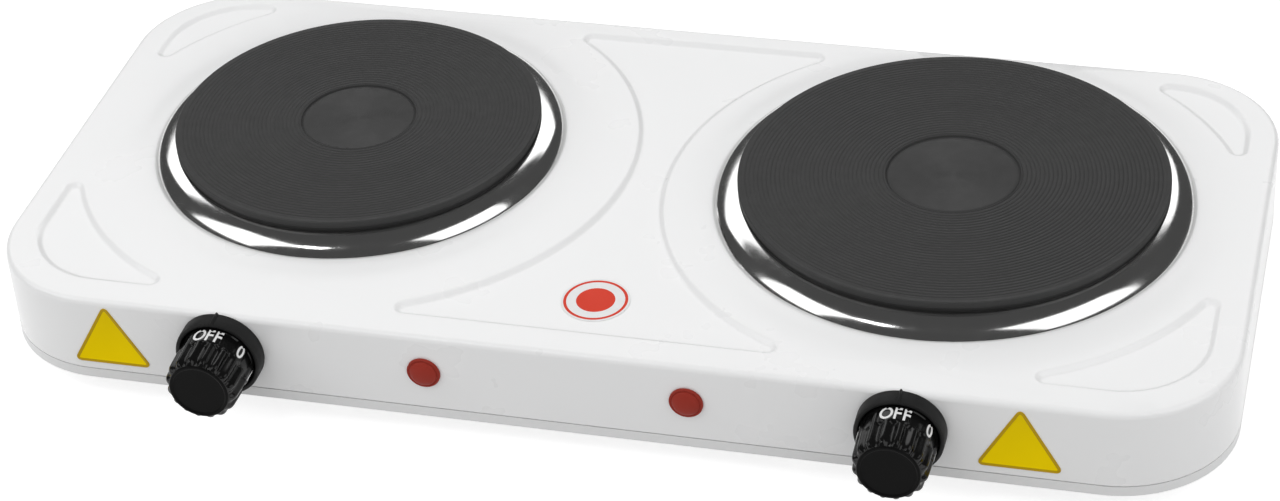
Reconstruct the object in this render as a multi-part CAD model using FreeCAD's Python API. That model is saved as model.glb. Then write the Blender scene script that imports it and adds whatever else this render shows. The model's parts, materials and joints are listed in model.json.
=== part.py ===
import FreeCAD, Part
import math
import os
from collections import namedtuple

# Double electric hot plate, millimetres, +Z up, front towards -Y.
# The origin is on the table under the middle of the whole object.

Vec = FreeCAD.Vector
UP = Vec(0, 0, 1)
BACK = Vec(0, 1, 0)
TINY = 1e-6

# Casing: one pressed sheet with a rim, five sunk panels and a collar round each burner
CASE_L = 505.0
CASE_W = 237.0
CASE_H = 39.0
CORNER_R = 48.0
EDGE_R = 2.5
SHEET = 0.8
RIM_END = 12.0
RIM_FRONT = 14.5
RIM_REAR = 10.0
PANEL_ARC_R = 118.0
PANEL_DEPTH = 1.6
PANEL_SLOPE = 2.0
PANEL_TIP_R = 4.0
PANEL_FILLET = 2.0
COLLAR_H = 1.2
COLLAR_W = 14.0
COLLAR_FLAT = 1.5
MOUTH_FLANGE = 6.0

# Base pan: a tray whose lip is flush with the casing below a narrow seam
LIP_H = 4.3
SEAM = 0.5
PAN_SHEET = 0.8
UPSTAND_H = 10.0
UPSTAND_GAP = 2.2
VENT_L = 46.0
VENT_W = 5.0
VENT_PITCH = 12.0
VENT_COUNT = 7

# Burners
BURNER_X = 127.0
BURNER_Y = 9.5
SMALL_PLATE_R = 77.5
LARGE_PLATE_R = 87.5
SMALL_RING_OVER = 10.0
LARGE_RING_OVER = 10.5
PLATE_RISE = 12.6
PLATE_T = 18.0
PLATE_LAND = 3.0
FLANGE_T = 6.2
FLANGE_STEP = 0.8
PLATE_BEVEL = 1.0
PLATE_STEP = 9.0
RECESS_SHARE = 0.307
RECESS_DEPTH = 0.7
HOLLOW_WALL = 4.0
HOLLOW_DEPTH = 6.0
BOSS_R = 14.0
COVER_T = 0.8
COVER_GAP = 1.0
RING_T = 0.6
RING_BULGE = 1.6
RING_CLEAR = 0.6

# Plate fixing: stud, clamp bar, washer and nut
STUD_R = 3.0
STUD_GRIP = 8.0
STUD_TAIL = 3.0
STUD_CLEAR = 0.3
BAR_W = 24.0
BAR_T = 1.5
BAR_DROP = 5.0
BAR_TAB = 11.0
BAR_SIDE_GAP = 2.0
WASHER_R = 7.0
WASHER_T = 1.2
NUT_FLATS = 10.0
NUT_H = 5.0

# Plate terminals
TERMINAL_Y = 32.0
TERMINAL_L = 36.0
TERMINAL_W = 18.0
TERMINAL_H = 11.0
TAB_PITCH = 10.0
TAB_W = 6.3
TAB_T = 0.8
TAB_H = 10.0

# Front panel: knobs, bezels, lamps
PANEL_SHIFT = -8.0
KNOB_X = 137.0
LAMP_X = 53.0
AXIS_DROP = 16.8
BEZEL_R = 17.6
BEZEL_D = 7.0
BEZEL_WALL = 1.8
BEZEL_FLOOR = 1.6
INDEX_W = 2.4
INDEX_H = 1.0
KNOB_REACH = 28.0
KNOB_GAP = 0.6
KNOB_FRONT_R = 14.7
KNOB_BACK_GAP = 0.8
KNOB_SHOULDER = 3.0
CAP_R = 12.2
CAP_STEP = 0.5
FLUTE_COUNT = 16
FLUTE_R = 1.7
FLUTE_DEPTH = 1.6
FLUTE_L = 11.3
PAD_SINK = 0.8
PAD_L = 8.0
PAD_GAP = 0.4
FIRST_MARK_SPAN = 45.0
NUMBER_SPAN = 19.0
NUMBER_TURN = 56.25
NUMBER_STEP = 45.0
NUMBER_COUNT = 6
LONG_RIB_SPAN = 10.0
LONG_RIB_TURN = -33.75
SOCKET_WALL = 2.0
SOCKET_DEPTH = 14.0
KNOB_WALL = 1.8
LENS_R = 6.8
LENS_RIM = 1.1
LENS_REACH = 3.0
LAMP_R = 5.0
LAMP_L = 20.0
LAMP_CLEAR = 0.3
CLIP_R = 8.0
CLIP_T = 1.0

# Thermostats and their shafts
SHAFT_R = 3.0
SHAFT_FLAT = 1.0
SHAFT_RUN = 0.05
SHAFT_HOLE_GAP = 0.5
SHAFT_TAIL = 1.0
FRAME_L = 40.0
FRAME_H = 22.0
FRAME_T = 1.5
SLEEVE_R = 5.0
SLEEVE_L = 8.0
ARM_W = 16.0
THERMO_L = 38.0
BASE_L = 13.0
BASE_W = 16.0
BASE_H = 18.0
LEAF_T = 0.6
LEAF_W = 8.0
LEAF_GAP = 0.6
LEAF_DROP = 6.0
SCREW_X = 11.5
SCREW_R = 1.6
SCREW_HEAD_R = 3.0
SCREW_HEAD_H = 1.6
SCREW_TAIL = 2.0

# Rear: cord bush, mains block and earth screw
BUSH_X = 0.0
BUSH_Z = 30.0
BUSH_BORE_R = 3.8
BUSH_NECK_R = 6.5
BUSH_FLANGE_R = 9.5
BUSH_REACH = 5.0
BUSH_INNER_R = 8.0
BUSH_INNER_T = 3.0
BLOCK_Y = 70.0
BLOCK_L = 34.0
BLOCK_W = 18.0
BLOCK_H = 14.0
BLOCK_PITCH = 10.0
BLOCK_SCREW_R = 2.2
BLOCK_SCREW_DEPTH = 4.0
BLOCK_SCREW_GAP = 0.1
EARTH_Y = 40.0
EARTH_R = 2.0

# Feet, lugs and their fasteners
FOOT_H = 10.0
FOOT_TOP_R = 11.5
FOOT_BASE_R = 9.5
FOOT_WELL_R = 5.0
FOOT_WELL = 5.0
FOOT_INSET_X = 48.0
FOOT_INSET_Y = 42.0
FOOT_SCREW_R = 2.0
FOOT_HEAD_R = 4.2
FOOT_HEAD_H = 2.4
FOOT_NUT_FLATS = 7.0
FOOT_NUT_H = 3.2
HOLE_GAP = 0.2
LUG_W = 14.0
LUG_T = 1.2
LUG_STEP = 5.0
LUG_FOOT = 13.0
LUG_WELD = 12.0
LUG_REAR_X = (-150.0, 150.0)
BASE_SCREW_R = 1.9
BASE_SCREW_HEAD_R = 3.6
BASE_SCREW_HEAD_H = 2.2
BASE_SCREW_TAIL = 5.0

# Leads
LEAD_R = 1.1
LEAD_FLOOR = 3.0
LEAD_OVER = 8.0
LEAD_STUB = 9.0
LEAD_SPLIT = 3.0
BEND_SHARE = 0.45

# Levels and places worked out from the sizes above
CASE_Y = (KNOB_REACH - BUSH_REACH) / 2
FRONT_Y = CASE_Y - CASE_W / 2
REAR_Y = CASE_Y + CASE_W / 2
INNER_FRONT_Y = FRONT_Y + SHEET
INNER_REAR_Y = REAR_Y - SHEET
PAN_TOP_Z = FOOT_H + PAN_SHEET
LIP_TOP_Z = FOOT_H + LIP_H
CASE_BOTTOM_Z = LIP_TOP_Z + SEAM
TOP_Z = FOOT_H + CASE_H
COLLAR_Z = TOP_Z + COLLAR_H
UNDER_COLLAR_Z = COLLAR_Z - SHEET
PLATE_Z = TOP_Z + PLATE_RISE
SEAT_Z = PLATE_Z - FLANGE_T
PLATE_BASE_Z = PLATE_Z - PLATE_T
COVER_BASE_Z = PLATE_BASE_Z - COVER_T
BAR_Z = COVER_BASE_Z - BAR_DROP
NUT_TOP_Z = BAR_Z - BAR_T - WASHER_T
STUD_BASE_Z = NUT_TOP_Z - NUT_H - STUD_TAIL
AXIS_Z = TOP_Z - AXIS_DROP
KNOB_BACK = BEZEL_FLOOR + SCREW_HEAD_H + KNOB_BACK_GAP
SHAFT_END_Y = INNER_FRONT_Y + FRAME_T + SLEEVE_L + SHAFT_TAIL

Burner = namedtuple("Burner", "name x plate_r ring_r")
BURNERS = (
    Burner("small", -BURNER_X, SMALL_PLATE_R, SMALL_PLATE_R + SMALL_RING_OVER),
    Burner("large", BURNER_X, LARGE_PLATE_R, LARGE_PLATE_R + LARGE_RING_OVER),
)
BURNER_MID_Y = CASE_Y + BURNER_Y
Control = namedtuple("Control", "name knob_x lamp_x")
CONTROLS = (
    Control("left", PANEL_SHIFT - KNOB_X, PANEL_SHIFT - LAMP_X),
    Control("right", PANEL_SHIFT + KNOB_X, PANEL_SHIFT + LAMP_X),
)


def body_r(burner):
    """Radius of the plate's body below its flange."""
    return burner.plate_r - PLATE_STEP


def mouth_r(burner):
    """Radius of the casing's opening under the plate."""
    return body_r(burner) + BAR_SIDE_GAP


def slab(length, width, radius, bottom, top):
    """Upright block with rounded corners, centred on the casing."""
    block = Part.makeBox(length, width, top - bottom, Vec(-length / 2, CASE_Y - width / 2, bottom))
    upright = [e for e in block.Edges if abs(e.tangentAt(e.FirstParameter).z) > 0.9]
    return block.makeFillet(radius, upright)


def post(radius, x, y, bottom, top):
    """Upright cylinder."""
    return Part.makeCylinder(radius, top - bottom, Vec(x, y, bottom))


def rod(radius, x, z, front, back):
    """Cylinder along +Y."""
    return Part.makeCylinder(radius, back - front, Vec(x, front, z), BACK)


def hexagon(flats, x, y, bottom, height):
    """Upright hexagonal prism."""
    radius = flats / math.sqrt(3)
    corners = [Vec(x + radius * math.cos(math.radians(a)), y + radius * math.sin(math.radians(a)), bottom)
               for a in range(0, 361, 60)]
    return Part.Face(Part.makePolygon(corners)).extrude(UP * height)


def turned(profile, centre, axis):
    """Solid of revolution from a closed wire."""
    return Part.Face(profile).revolve(centre, axis, 360)


def strip(points, thickness, width, place):
    """Sheet strip bent along 2D points, thickness to the left of its run, centred on its width.

    place maps (run, rise, side) to a point in space.
    """
    normals = []
    for (x0, y0), (x1, y1) in zip(points, points[1:]):
        run = math.hypot(x1 - x0, y1 - y0)
        normals.append((-(y1 - y0) / run, (x1 - x0) / run))
    far = []
    for i, (x, y) in enumerate(points):
        before = normals[max(i - 1, 0)]
        after = normals[min(i, len(normals) - 1)]
        share = thickness / (1 + before[0] * after[0] + before[1] * after[1])
        far.append((x + share * (before[0] + after[0]), y + share * (before[1] + after[1])))
    outline = list(points) + far[::-1]
    outline.append(outline[0])
    face = Part.Face(Part.makePolygon([place(a, b, -width / 2) for a, b in outline]))
    return face.extrude(place(0, 0, width / 2) - place(0, 0, -width / 2))


def panel_cutters(top):
    """Five sunk panels with sloped walls: the field inside the rim, less a disc round each burner."""
    block = slab(CASE_L - 2 * RIM_END, CASE_W - RIM_FRONT - RIM_REAR, CORNER_R - RIM_END, top, top + SHEET)
    block.translate(BACK * ((RIM_FRONT - RIM_REAR) / 2))
    for burner in BURNERS:
        block = block.cut(post(PANEL_ARC_R, burner.x, BURNER_MID_Y, top - SHEET, top + 2 * SHEET))
    cutters = []
    for solid in block.Solids:
        floor = [f for f in solid.Faces if abs(f.BoundBox.ZMax - top) < TINY][0]
        mouth = floor.makeOffset2D(-PANEL_TIP_R).makeOffset2D(PANEL_TIP_R)
        bed = mouth.makeOffset2D(-PANEL_SLOPE)
        bed.translate(UP * -PANEL_DEPTH)
        cutters.append(Part.makeLoft([mouth.OuterWire, bed.OuterWire], True, True))
    return cutters


def collar(burner, top):
    """Low cone that lifts the seat of the trim ring above the rim."""
    outer = burner.ring_r + COLLAR_W
    inner = burner.ring_r + COLLAR_FLAT
    cone = Part.makeCone(outer, inner, COLLAR_H, Vec(burner.x, BURNER_MID_Y, top))
    reach = 2 * EDGE_R
    return cone.common(slab(CASE_L - reach, CASE_W - reach, CORNER_R - EDGE_R, top, top + COLLAR_H))


def round_panels(form, top):
    """Round the pressed edges of the panels' floors and mouths."""
    slopes = [f for f in form.Faces if abs(f.BoundBox.ZLength - PANEL_DEPTH) < TINY]
    walls = Part.makeCompound(slopes)
    bends = [e for e in form.Edges if e.BoundBox.ZLength < TINY and e.BoundBox.ZMin > top - 2 * PANEL_DEPTH]
    return form.makeFillet(PANEL_FILLET, [e for e in bends if e.distToShape(walls)[0] < TINY])


def casing_form(inset):
    """One skin of the casing as a solid, inset from the outer skin."""
    top = TOP_Z - inset
    bottom = CASE_BOTTOM_Z - inset
    form = slab(CASE_L - 2 * inset, CASE_W - 2 * inset, CORNER_R - inset, bottom, top)
    form = form.makeFillet(EDGE_R - inset, [e for e in form.Edges if e.BoundBox.ZMin > top - TINY])
    form = round_panels(form.cut(panel_cutters(top)), top)
    return form.fuse([collar(burner, top) for burner in BURNERS])


def make_top_casing():
    """Pressed shell with burner mouths and holes for shafts, screws, lamps and the cord bush."""
    shell = casing_form(0).cut(casing_form(SHEET))
    for burner in BURNERS:
        inner = mouth_r(burner)
        shell = shell.fuse(post(inner + SHEET, burner.x, BURNER_MID_Y, COLLAR_Z - MOUTH_FLANGE, COLLAR_Z))
        shell = shell.cut(post(inner, burner.x, BURNER_MID_Y, COLLAR_Z - 2 * MOUTH_FLANGE, COLLAR_Z + SHEET))
    holes = [rod(BUSH_NECK_R, BUSH_X, BUSH_Z, INNER_REAR_Y - SHEET, REAR_Y + SHEET)]
    for control in CONTROLS:
        through = (FRONT_Y - SHEET, INNER_FRONT_Y + SHEET)
        holes.append(rod(SHAFT_R + SHAFT_HOLE_GAP, control.knob_x, AXIS_Z, *through))
        holes.append(rod(LAMP_R + LAMP_CLEAR, control.lamp_x, AXIS_Z, *through))
        for side in (-1, 1):
            holes.append(rod(SCREW_R + HOLE_GAP, control.knob_x + side * SCREW_X, AXIS_Z, *through))
    return shell.cut(holes).removeSplitter()


def lug_places():
    """Places of the lugs: x, y of the casing's inner wall, and the direction into the casing."""
    front = [((control.knob_x + control.lamp_x) / 2, INNER_FRONT_Y, 1) for control in CONTROLS]
    rear = [(x, INNER_REAR_Y, -1) for x in LUG_REAR_X]
    return front + rear


def foot_places():
    """Places of the four feet by name."""
    x = CASE_L / 2 - FOOT_INSET_X
    y = CASE_W / 2 - FOOT_INSET_Y
    return {f"{row}_{side}_foot": (sx * x, CASE_Y + sy * y)
            for row, sy in (("front", -1), ("rear", 1)) for side, sx in (("left", -1), ("right", 1))}


def base_screw_y(wall_y, inward):
    """Y of a base screw, in the middle of the lug's foot."""
    return wall_y + inward * (LUG_STEP + LUG_FOOT / 2)


def make_base_pan():
    """Tray with a lip, an upstand inside the casing, vents under the burners and screw holes."""
    inset = SHEET + UPSTAND_GAP
    inner = inset + PAN_SHEET

    def layer(gap, bottom, top):
        return slab(CASE_L - 2 * gap, CASE_W - 2 * gap, CORNER_R - gap, bottom, top)

    rim_top = FOOT_H + UPSTAND_H
    pan = layer(0, FOOT_H, LIP_TOP_Z).fuse(layer(inset, FOOT_H, rim_top))
    pan = pan.cut(layer(PAN_SHEET, PAN_TOP_Z, LIP_TOP_Z - PAN_SHEET))
    pan = pan.cut(layer(inner, PAN_TOP_Z, rim_top + SHEET))
    low, high = FOOT_H - PAN_SHEET, PAN_TOP_Z + PAN_SHEET
    holes = [post(FOOT_SCREW_R + HOLE_GAP, x, y, low, high) for x, y in foot_places().values()]
    holes += [post(BASE_SCREW_R + HOLE_GAP, x, base_screw_y(y, d), low, high) for x, y, d in lug_places()]
    holes.append(post(EARTH_R + HOLE_GAP, BUSH_X, CASE_Y + EARTH_Y, low, high))
    for burner in BURNERS:
        for i in range(VENT_COUNT):
            x = burner.x + (i - (VENT_COUNT - 1) / 2) * VENT_PITCH
            corner = Vec(x - VENT_W / 2, BURNER_MID_Y - VENT_L / 2, low)
            holes.append(Part.makeBox(VENT_W, VENT_L, high - low, corner))
    return pan.cut(holes).removeSplitter()


def make_lugs():
    """Brackets welded inside the casing walls that stand on the pan."""
    rise = FOOT_H + UPSTAND_H + LUG_T
    run = [(0, rise + LUG_WELD), (0, rise), (LUG_STEP, rise), (LUG_STEP, PAN_TOP_Z),
           (LUG_STEP + LUG_FOOT, PAN_TOP_Z)]
    lugs = []
    for x, wall_y, inward in lug_places():
        lug = strip(run, LUG_T, LUG_W, lambda a, b, c: Vec(x + c, wall_y + inward * a, b))
        hole = post(BASE_SCREW_R, x, base_screw_y(wall_y, inward), FOOT_H, PAN_TOP_Z + 2 * LUG_T)
        lugs.append(lug.cut(hole))
    return Part.makeCompound(lugs)


def make_base_screws():
    """Screws from below through the pan into the lugs."""
    screws = []
    for x, wall_y, inward in lug_places():
        y = base_screw_y(wall_y, inward)
        head = post(BASE_SCREW_HEAD_R, x, y, FOOT_H - BASE_SCREW_HEAD_H, FOOT_H)
        shank = post(BASE_SCREW_R - SHAFT_RUN, x, y, FOOT_H, PAN_TOP_Z + LUG_T + BASE_SCREW_TAIL)
        screws.append(head.fuse(shank).removeSplitter())
    return Part.makeCompound(screws)


def make_foot(x, y):
    """Rubber foot with a well for its screw."""
    cone = Part.makeCone(FOOT_BASE_R, FOOT_TOP_R, FOOT_H, Vec(x, y, 0))
    hole = post(FOOT_SCREW_R + HOLE_GAP, x, y, 0, FOOT_H)
    return cone.cut([post(FOOT_WELL_R, x, y, 0, FOOT_WELL), hole])


def make_foot_screws():
    """One screw in each foot's well."""
    screws = []
    for x, y in foot_places().values():
        head = post(FOOT_HEAD_R, x, y, FOOT_WELL - FOOT_HEAD_H, FOOT_WELL)
        shank = post(FOOT_SCREW_R, x, y, FOOT_WELL, PAN_TOP_Z + FOOT_NUT_H + SCREW_TAIL)
        screws.append(head.fuse(shank).removeSplitter())
    return Part.makeCompound(screws)


def make_foot_nuts():
    """Nuts on the pan's floor over the feet."""
    nuts = []
    for x, y in foot_places().values():
        nut = hexagon(FOOT_NUT_FLATS, x, y, PAN_TOP_Z, FOOT_NUT_H)
        nuts.append(nut.cut(post(FOOT_SCREW_R + SHAFT_RUN, x, y, PAN_TOP_Z, PAN_TOP_Z + FOOT_NUT_H)))
    return Part.makeCompound(nuts)


def make_hot_plate(burner):
    """Cast plate: sunk centre disc, stepped rim, hollow underside and a boss for the stud."""
    r, inner = burner.plate_r, body_r(burner)
    disc = r * RECESS_SHARE
    hollow_top = PLATE_BASE_Z + HOLLOW_DEPTH
    outline = [
        (0, PLATE_Z - RECESS_DEPTH), (disc, PLATE_Z - RECESS_DEPTH), (disc + RECESS_DEPTH, PLATE_Z),
        (r - PLATE_BEVEL, PLATE_Z), (r, PLATE_Z - PLATE_BEVEL), (r, PLATE_Z - PLATE_LAND),
        (r - FLANGE_STEP, PLATE_Z - PLATE_LAND), (r - FLANGE_STEP, SEAT_Z), (inner, SEAT_Z),
        (inner, PLATE_BASE_Z), (inner - HOLLOW_WALL, PLATE_BASE_Z), (inner - HOLLOW_WALL, hollow_top),
        (BOSS_R, hollow_top), (BOSS_R, PLATE_BASE_Z), (0, PLATE_BASE_Z), (0, PLATE_Z - RECESS_DEPTH)]
    profile = Part.makePolygon([Vec(burner.x + a, BURNER_MID_Y, b) for a, b in outline])
    plate = turned(profile, Vec(burner.x, BURNER_MID_Y, 0), UP)
    hole = post(STUD_R + SHAFT_RUN, burner.x, BURNER_MID_Y, PLATE_BASE_Z, PLATE_BASE_Z + STUD_GRIP)
    return plate.cut(hole)


def make_trim_ring(burner):
    """Sheet ring: a flat seat under the plate's flange and a crowned skirt down to the collar."""
    inner = body_r(burner) + RING_CLEAR
    seat = burner.plate_r - FLANGE_STEP
    foot = Vec(burner.ring_r, 0, COLLAR_Z + RING_T)
    crest = Vec(seat, 0, SEAT_Z)
    chord = crest - foot
    middle = (foot + crest) * 0.5 + Vec(chord.z, 0, -chord.x).normalize() * RING_BULGE
    skirt = Part.Arc(foot, middle, crest).toShape()
    centre, radius = skirt.Curve.Center, skirt.Curve.Radius

    def under(point):
        return centre + (point - centre) * ((radius - RING_T) / radius)

    lower_foot, lower_middle, lower_crest = under(foot), under(middle), under(crest)
    corners = [crest, Vec(inner, 0, SEAT_Z), Vec(inner, 0, SEAT_Z - RING_T),
               Vec(lower_crest.x, 0, SEAT_Z - RING_T), lower_crest]
    hem = [lower_foot, Vec(lower_foot.x, 0, COLLAR_Z), Vec(burner.ring_r, 0, COLLAR_Z), foot]
    edges = [skirt] + Part.makePolygon(corners).Edges
    edges += [Part.Arc(lower_crest, lower_middle, lower_foot).toShape()] + Part.makePolygon(hem).Edges
    ring = turned(Part.Wire(edges), Vec(0, 0, 0), UP)
    ring.translate(Vec(burner.x, BURNER_MID_Y, 0))
    return ring


def make_plate_cover(burner):
    """Sheet disc that closes the plate's underside."""
    radius = body_r(burner) - COVER_GAP
    disc = post(radius, burner.x, BURNER_MID_Y, COVER_BASE_Z, PLATE_BASE_Z)
    return disc.cut(post(STUD_R + STUD_CLEAR, burner.x, BURNER_MID_Y, COVER_BASE_Z, PLATE_BASE_Z))


def make_plate_stud(burner):
    """Stud screwed into the plate's boss."""
    return post(STUD_R, burner.x, BURNER_MID_Y, STUD_BASE_Z, PLATE_BASE_Z + STUD_GRIP)


def make_clamp_bar(burner):
    """Hat-shaped bar that spans the mouth and bears on the casing from below."""
    leg = mouth_r(burner) + SHEET + BAR_SIDE_GAP
    end = leg + BAR_TAB
    run = [(-end, UNDER_COLLAR_Z - BAR_T), (-leg - BAR_T, UNDER_COLLAR_Z - BAR_T),
           (-leg - BAR_T, BAR_Z - BAR_T), (leg + BAR_T, BAR_Z - BAR_T),
           (leg + BAR_T, UNDER_COLLAR_Z - BAR_T), (end, UNDER_COLLAR_Z - BAR_T)]
    bar = strip(run, BAR_T, BAR_W, lambda a, b, c: Vec(burner.x + a, BURNER_MID_Y + c, b))
    return bar.cut(post(STUD_R + STUD_CLEAR, burner.x, BURNER_MID_Y, BAR_Z - 2 * BAR_T, BAR_Z + BAR_T))


def make_clamp_washers():
    """Washers under the clamp bars."""
    top = BAR_Z - BAR_T
    washers = []
    for burner in BURNERS:
        disc = post(WASHER_R, burner.x, BURNER_MID_Y, top - WASHER_T, top)
        washers.append(disc.cut(post(STUD_R + STUD_CLEAR, burner.x, BURNER_MID_Y, top - WASHER_T, top)))
    return Part.makeCompound(washers)


def make_clamp_nuts():
    """Nuts on the plate studs."""
    nuts = []
    for burner in BURNERS:
        nut = hexagon(NUT_FLATS, burner.x, BURNER_MID_Y, NUT_TOP_Z - NUT_H, NUT_H)
        nuts.append(nut.cut(post(STUD_R + SHAFT_RUN, burner.x, BURNER_MID_Y, NUT_TOP_Z - NUT_H, NUT_TOP_Z)))
    return Part.makeCompound(nuts)


def make_terminal_block(burner):
    """Ceramic block under the plate's cover, with a slot for each tab."""
    corner = Vec(burner.x - TERMINAL_L / 2, BURNER_MID_Y + TERMINAL_Y - TERMINAL_W / 2,
                 COVER_BASE_Z - TERMINAL_H)
    block = Part.makeBox(TERMINAL_L, TERMINAL_W, TERMINAL_H, corner)
    upright = [e for e in block.Edges if abs(e.tangentAt(e.FirstParameter).z) > 0.9]
    return block.makeFillet(TERMINAL_W / 6, upright)


def tab_x(burner, index):
    """X of a terminal tab: index -1, 0 or 1."""
    return burner.x + index * TAB_PITCH


def make_terminal_tabs(burner):
    """Blade tabs that hang from the ceramic block."""
    top = COVER_BASE_Z - TERMINAL_H
    tabs = []
    for index in (-1, 0, 1):
        corner = Vec(tab_x(burner, index) - TAB_W / 2, BURNER_MID_Y + TERMINAL_Y - TAB_T / 2, top - TAB_H)
        tabs.append(Part.makeBox(TAB_W, TAB_T, TAB_H, corner))
    return Part.makeCompound(tabs)


def make_bezel(control):
    """Fixed cup behind the knob, with a pointed index ridge on top."""
    x = control.knob_x
    cup = rod(BEZEL_R, x, AXIS_Z, FRONT_Y - BEZEL_D, FRONT_Y)
    half = INDEX_W / 2
    foot = AXIS_Z + math.sqrt(BEZEL_R ** 2 - half ** 2)
    peak = AXIS_Z + BEZEL_R + INDEX_H
    corners = [(-half, foot - INDEX_H), (half, foot - INDEX_H), (half, foot), (0, peak), (-half, foot)]
    ridge = Part.makePolygon([Vec(x + a, FRONT_Y - BEZEL_D, b) for a, b in corners + corners[:1]])
    cup = cup.fuse(Part.Face(ridge).extrude(BACK * BEZEL_D))
    cup = cup.cut(rod(BEZEL_R - BEZEL_WALL, x, AXIS_Z, FRONT_Y - 2 * BEZEL_D, FRONT_Y - BEZEL_FLOOR))
    holes = [rod(SHAFT_R + SHAFT_HOLE_GAP, x, AXIS_Z, FRONT_Y - BEZEL_D, FRONT_Y)]
    for side in (-1, 1):
        holes.append(rod(SCREW_R + HOLE_GAP, x + side * SCREW_X, AXIS_Z, FRONT_Y - BEZEL_D, FRONT_Y))
    return cup.cut(holes).removeSplitter()


def make_shaft(control):
    """Control shaft with a flat where the knob sits."""
    front = FRONT_Y - KNOB_BACK - SOCKET_DEPTH
    shaft = rod(SHAFT_R, control.knob_x, AXIS_Z, front, SHAFT_END_Y)
    corner = Vec(control.knob_x - SHAFT_R, front, AXIS_Z + SHAFT_R - SHAFT_FLAT)
    return shaft.cut(Part.makeBox(2 * SHAFT_R, SOCKET_DEPTH, SHAFT_R, corner))


def sector(radius, middle, span, x, front, back):
    """Wedge of a rod along Y, its middle turned clockwise from the top as seen from the front."""
    wedge = Part.makeCylinder(radius, back - front, Vec(0, 0, 0), UP, span)
    wedge.rotate(Vec(0, 0, 0), UP, middle - span / 2 - 90)
    wedge.rotate(Vec(0, 0, 0), Vec(1, 0, 0), -90)
    wedge.translate(Vec(x, front, AXIS_Z))
    return wedge


def mark_band(x, radius):
    """Shallow band round the knob's back, broken by a pad for each mark and by one long rib."""
    back = FRONT_Y - BEZEL_D + PAD_GAP
    front = back - PAD_L
    band = rod(2 * radius, x, AXIS_Z, front, back).cut(rod(radius - PAD_SINK, x, AXIS_Z, front, back))
    pads = [(0, FIRST_MARK_SPAN), (LONG_RIB_TURN, LONG_RIB_SPAN)]
    pads += [(NUMBER_TURN + i * NUMBER_STEP, NUMBER_SPAN) for i in range(NUMBER_COUNT)]
    return band.cut([sector(3 * radius, middle, span, x, front, back) for middle, span in pads])


def make_knob(control):
    """Tapered hollow knob with a fluted grip, a rounded shoulder, a front cap and a shaft socket."""
    x = control.knob_x
    back_r = BEZEL_R - BEZEL_WALL - KNOB_GAP
    back_y = FRONT_Y - KNOB_BACK
    front_y = FRONT_Y - KNOB_REACH
    shoulder_y = front_y + KNOB_SHOULDER
    slant = KNOB_SHOULDER * math.sqrt(0.5)
    bend = Part.Arc(Vec(x + KNOB_FRONT_R, shoulder_y, AXIS_Z),
                    Vec(x + CAP_R + (KNOB_FRONT_R - CAP_R) * math.sqrt(0.5), shoulder_y - slant, AXIS_Z),
                    Vec(x + CAP_R, front_y, AXIS_Z))
    cap = [(CAP_R, front_y), (CAP_R - CAP_STEP, front_y + CAP_STEP), (0, front_y + CAP_STEP), (0, back_y),
           (back_r, back_y), (KNOB_FRONT_R, shoulder_y)]
    corners = [Vec(x + a, b, AXIS_Z) for a, b in cap]
    profile = Part.Wire([bend.toShape()] + Part.makePolygon(corners).Edges)
    knob = turned(profile, Vec(x, 0, AXIS_Z), BACK)
    knob.rotate(Vec(x, 0, AXIS_Z), BACK, 180 / FLUTE_COUNT)
    flute_z = AXIS_Z + KNOB_FRONT_R + FLUTE_R - FLUTE_DEPTH
    groove = rod(FLUTE_R, x, flute_z, front_y - FLUTE_R, front_y + FLUTE_L)
    groove = groove.fuse(Part.makeSphere(FLUTE_R, Vec(x, front_y + FLUTE_L, flute_z)))
    flutes = []
    for i in range(FLUTE_COUNT):
        flute = groove.copy()
        flute.rotate(Vec(x, 0, AXIS_Z), BACK, 360 * i / FLUTE_COUNT)
        flutes.append(flute)
    knob = knob.cut(flutes + [mark_band(x, back_r)])
    hollow = rod(back_r - KNOB_WALL, x, AXIS_Z, back_y - SOCKET_DEPTH / 2, back_y)
    socket = rod(SHAFT_R + SOCKET_WALL, x, AXIS_Z, back_y - SOCKET_DEPTH / 2, back_y)
    knob = knob.cut(hollow.cut(socket))
    bore = rod(SHAFT_R + SHAFT_RUN, x, AXIS_Z, back_y - SOCKET_DEPTH, back_y)
    flat = Vec(x - 2 * SHAFT_R, back_y - SOCKET_DEPTH, AXIS_Z + SHAFT_R - SHAFT_FLAT + SHAFT_RUN)
    bore = bore.cut(Part.makeBox(4 * SHAFT_R, SOCKET_DEPTH, SHAFT_R, flat))
    return knob.cut(bore)


def make_thermostat_frame(control):
    """Front plate on the casing wall, a sleeve for the shaft and an arm over the ceramic base."""
    x = control.knob_x
    plate_back = INNER_FRONT_Y + FRAME_T
    corner = Vec(x - FRAME_L / 2, INNER_FRONT_Y, AXIS_Z - FRAME_H / 2)
    frame = Part.makeBox(FRAME_L, FRAME_T, FRAME_H, corner)
    frame = frame.fuse(rod(SLEEVE_R, x, AXIS_Z, INNER_FRONT_Y, plate_back + SLEEVE_L))
    arm = Vec(x - ARM_W / 2, INNER_FRONT_Y, AXIS_Z + FRAME_H / 2 - FRAME_T)
    frame = frame.fuse(Part.makeBox(ARM_W, THERMO_L, FRAME_T, arm))
    holes = [rod(SHAFT_R + SHAFT_RUN, x, AXIS_Z, FRONT_Y, plate_back + 2 * SLEEVE_L)]
    for side in (-1, 1):
        holes.append(rod(SCREW_R + SHAFT_RUN, x + side * SCREW_X, AXIS_Z, FRONT_Y, plate_back + FRAME_T))
    return frame.cut(holes).removeSplitter()


def make_thermostat_base(control):
    """Ceramic base under the arm."""
    top = AXIS_Z + FRAME_H / 2 - FRAME_T
    corner = Vec(control.knob_x - BASE_W / 2, INNER_FRONT_Y + THERMO_L - BASE_L, top - BASE_H)
    return Part.makeBox(BASE_W, BASE_L, BASE_H, corner)


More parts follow.
